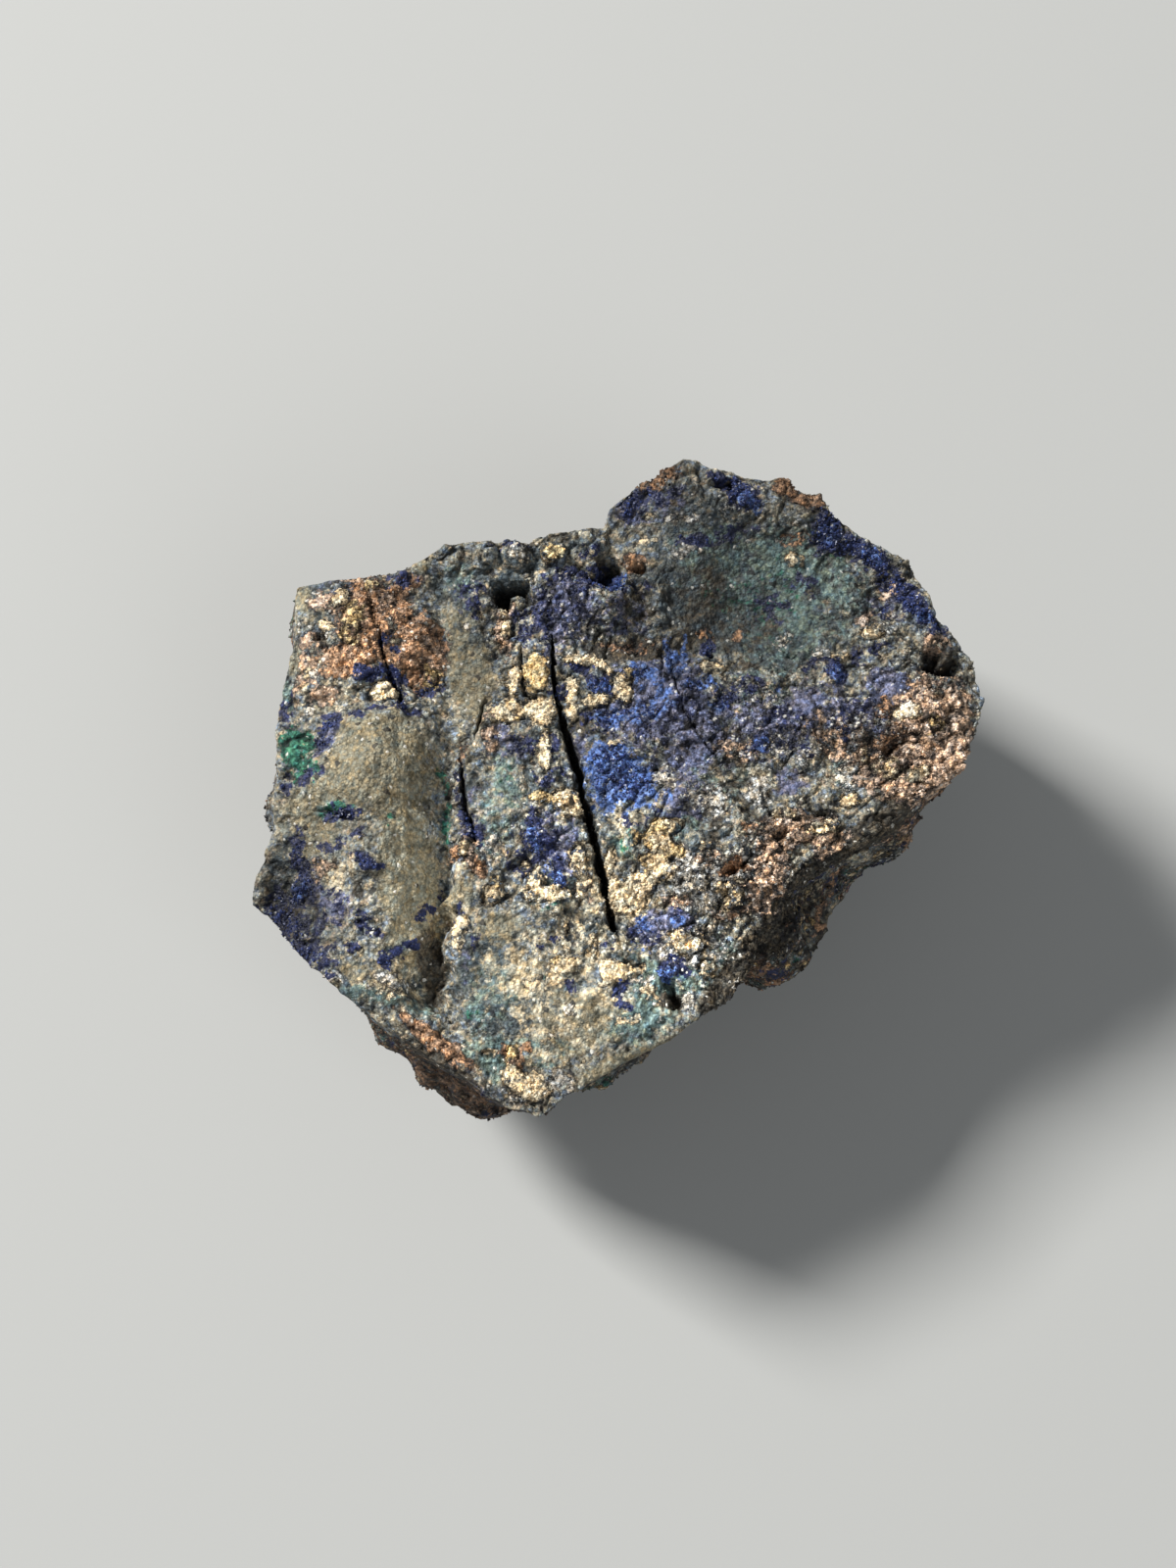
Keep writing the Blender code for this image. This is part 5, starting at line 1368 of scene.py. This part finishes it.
off_openings = 1 - 0.9 * smooth_step(0.1, 1.0, np.maximum(crust_crack, 0.6 * crust_pit))
off_openings = off_openings * (crust_down < 0.7 * SKIRT_SHARE)
crusty = np.clip(sum(crust_shares[name] for name in ("pink", "rust", "cream", "ochre", "pale")), 0, 1.2)
bare = np.clip(crust_shares["smooth"] + 0.7 * crust_shares["olive"], 0, 1)
on_ground = (0.05 + crust_shares["granular"]) * (1 - 0.95 * bare) * off_openings
on_crust = crusty * (1 - 0.8 * bare) * off_openings
on_side = smooth_step(0.6, 1.5, rock_points[:, 2]) * (rock_down > 0.8 * SKIRT_SHARE)
on_side = on_side * (0.1 + rock_shares["granular"])

crust_ground = (crust_points, crust_triangles, crust_shares, crust_shade)
rock_grains("small_grains", crust_ground, on_ground)
rock_grains("crust_grains", crust_ground, on_crust)
rock_grains("side_grains", (rock_points, rock_triangles, rock_shares, rock_shade), on_side)

# ==== Azurite crystals =====================================================================================
# Small deep-blue crystals, 0.15 to 0.45 mm across, that stand on the azurite crusts. They are stout glassy
# blades with eight faces, scattered where the ground is bluest.

CRYSTAL_COUNT = 3000
CRYSTAL_RADII = (0.08, 0.22)
CRYSTAL_COLOURS = (0.002, 0.003, 0.012), (0.045, 0.070, 0.220)
CRYSTAL_STRETCH, CRYSTAL_SUNK = 0.5, 0.2


def crystal_material(name, colours, roughness, specular):
    """Glassy crystals, whose colour goes from the first to the second as their own shade goes from 0 to 1."""
    look = Finish(name, roughness, specular)
    look.give("Base Color", look.blend(look.attribute("shade")["Fac"], *colours))
    return look.material


def crystal_piece(name, weight, count, radii, material, tones):
    """A piece of loose crystals with flat faces; each keeps one random tone, darkened by the painted shade of
    the ground under it.
    """
    place, normal, *under = scatter(crust_points, crust_triangles, weight, count)
    radius = radii[0] * (radii[1] / radii[0]) ** random.random(count)
    piece = mesh_piece(name, *grain_mesh(place, normal, radius, CRYSTAL_STRETCH, CRYSTAL_SUNK), material)
    own_shade = random.uniform(*tones, count) * np.clip(at_places(crust_shade, *under), 0, 1)
    keep_shade(piece, np.repeat(own_shade, 6))


blue_ground = np.clip(crust_shares["azurite"] + crust_shares["royal"] - 0.5, 0, 1) ** 2 * off_openings
azurite_glass = crystal_material("azurite_glass", CRYSTAL_COLOURS, 0.42, 0.4)
crystal_piece("azurite_crystals", blue_ground, CRYSTAL_COUNT, CRYSTAL_RADII, azurite_glass, (0.0, 1.0))

# ==== Quartz grains ========================================================================================
# Six small clusters of clear to white quartz grains, which catch the light. A cluster is 0.6 to 1.5 mm across
# and its grains 0.2 to 0.6 mm.

QUARTZ_COUNT = 160
QUARTZ_RADII = (0.10, 0.30)
QUARTZ_COLOURS = (0.42, 0.37, 0.29), (0.92, 0.86, 0.74)

# Middle of each cluster and how far it reaches: x, y, reach.
QUARTZ_CLUSTERS = [
    (29.8, 7.4, 0.75), (-33.4, 11.7, 0.35), (-33.9, 8.1, 0.30), (6.3, -22.4, 0.40), (-6.2, -23.8, 0.30),
    (22.8, 0.6, 0.40),
]  # fmt: skip

near_quartz = sum(
    np.exp(-(ellipse_distance(crust_points[:, 0], crust_points[:, 1], (x, y, reach, reach, 0)) ** 2))
    for x, y, reach in QUARTZ_CLUSTERS
)
white_quartz = crystal_material("white_quartz", QUARTZ_COLOURS, 0.3, 0.5)
crystal_piece("quartz_grains", near_quartz, QUARTZ_COUNT, QUARTZ_RADII, white_quartz, (0.3, 1.0))

# ==== The surface it lies on, the light and the camera =====================================================
# A plain pale surface, one large soft light from the back left, a weaker one opposite, and a camera that
# looks down on the face. None of them is part of the lump.

FLOOR_SIDE = 3000.0
FLOOR_COLOUR = (0.34, 0.344, 0.336)
VIEW_HEIGHT = 166.7  # height of what the camera sees at its target, which is 1600 pixels

# Area lights: place and side in metres, power in watts, colour. Both look at the middle of the lump.
LIGHTS = {
    "window_light": ((-1.35, 0.80, 1.35), 0.5, 92.0, (1.0, 0.985, 0.96)),
    "fill_light": ((0.9, -1.2, 1.4), 1.2, 13.0, (0.95, 0.98, 1.0)),
}
LIGHT_TARGET = (0, 0, 0.03)
ROOM_COLOUR, ROOM_STRENGTH = (0.93, 0.96, 1.0), 0.22


def floor_material():
    """Smooth matt paint with the faintest unevenness."""
    look = Finish("pale_surface", roughness=0.9)
    place = look.node("ShaderNodeTexCoord").outputs["Object"]
    cloud = look.noise(place, 250.0, 1.0)[0]
    look.give("Base Color", look.dye(FLOOR_COLOUR, look.spread(cloud, 0.3, 0.7, 0.985, 1.0)))
    return look.material


def aimed(name, data, place, target):
    """An object that looks at a target."""
    thing = bpy.data.objects.new(name, data)
    bpy.context.scene.collection.objects.link(thing)
    thing.location = place
    direction = Vector(target) - thing.location
    thing.rotation_euler = direction.to_track_quat("-Z", "Y").to_euler()
    return thing


half = FLOOR_SIDE * MM / 2
floor_mesh = bpy.data.meshes.new("surface")
floor_corners = [(-half, -half, 0), (half, -half, 0), (half, half, 0), (-half, half, 0)]
floor_mesh.from_pydata(floor_corners, [], [(0, 1, 2, 3)])
floor_mesh.materials.append(floor_material())
floor = bpy.data.objects.new("surface", floor_mesh)
bpy.context.scene.collection.objects.link(floor)

for name, (place, side, power, colour) in LIGHTS.items():
    light = bpy.data.lights.new(name, "AREA")
    light.shape = "SQUARE"
    light.size, light.energy, light.color = side, power, colour
    aimed(name, light, place, LIGHT_TARGET)

world = bpy.data.worlds.new("soft_room")
world.use_nodes = True
room = world.node_tree.nodes["Background"]
room.inputs["Color"].default_value = (*ROOM_COLOUR, 1)
room.inputs["Strength"].default_value = ROOM_STRENGTH
bpy.context.scene.world = world

elevation = math.radians(CAMERA_ELEVATION)
camera_data = bpy.data.cameras.new("camera")
camera_data.sensor_width = 36.0
camera_data.lens = camera_data.sensor_width * CAMERA_DISTANCE / VIEW_HEIGHT
camera_data.clip_start = 0.01
camera_target = np.array(CAMERA_TARGET) * MM
backing_off = np.array([0, -math.cos(elevation), math.sin(elevation)]) * CAMERA_DISTANCE * MM
bpy.context.scene.camera = aimed("camera", camera_data, camera_target + backing_off, camera_target)
bpy.context.scene.view_settings.view_transform = "Standard"
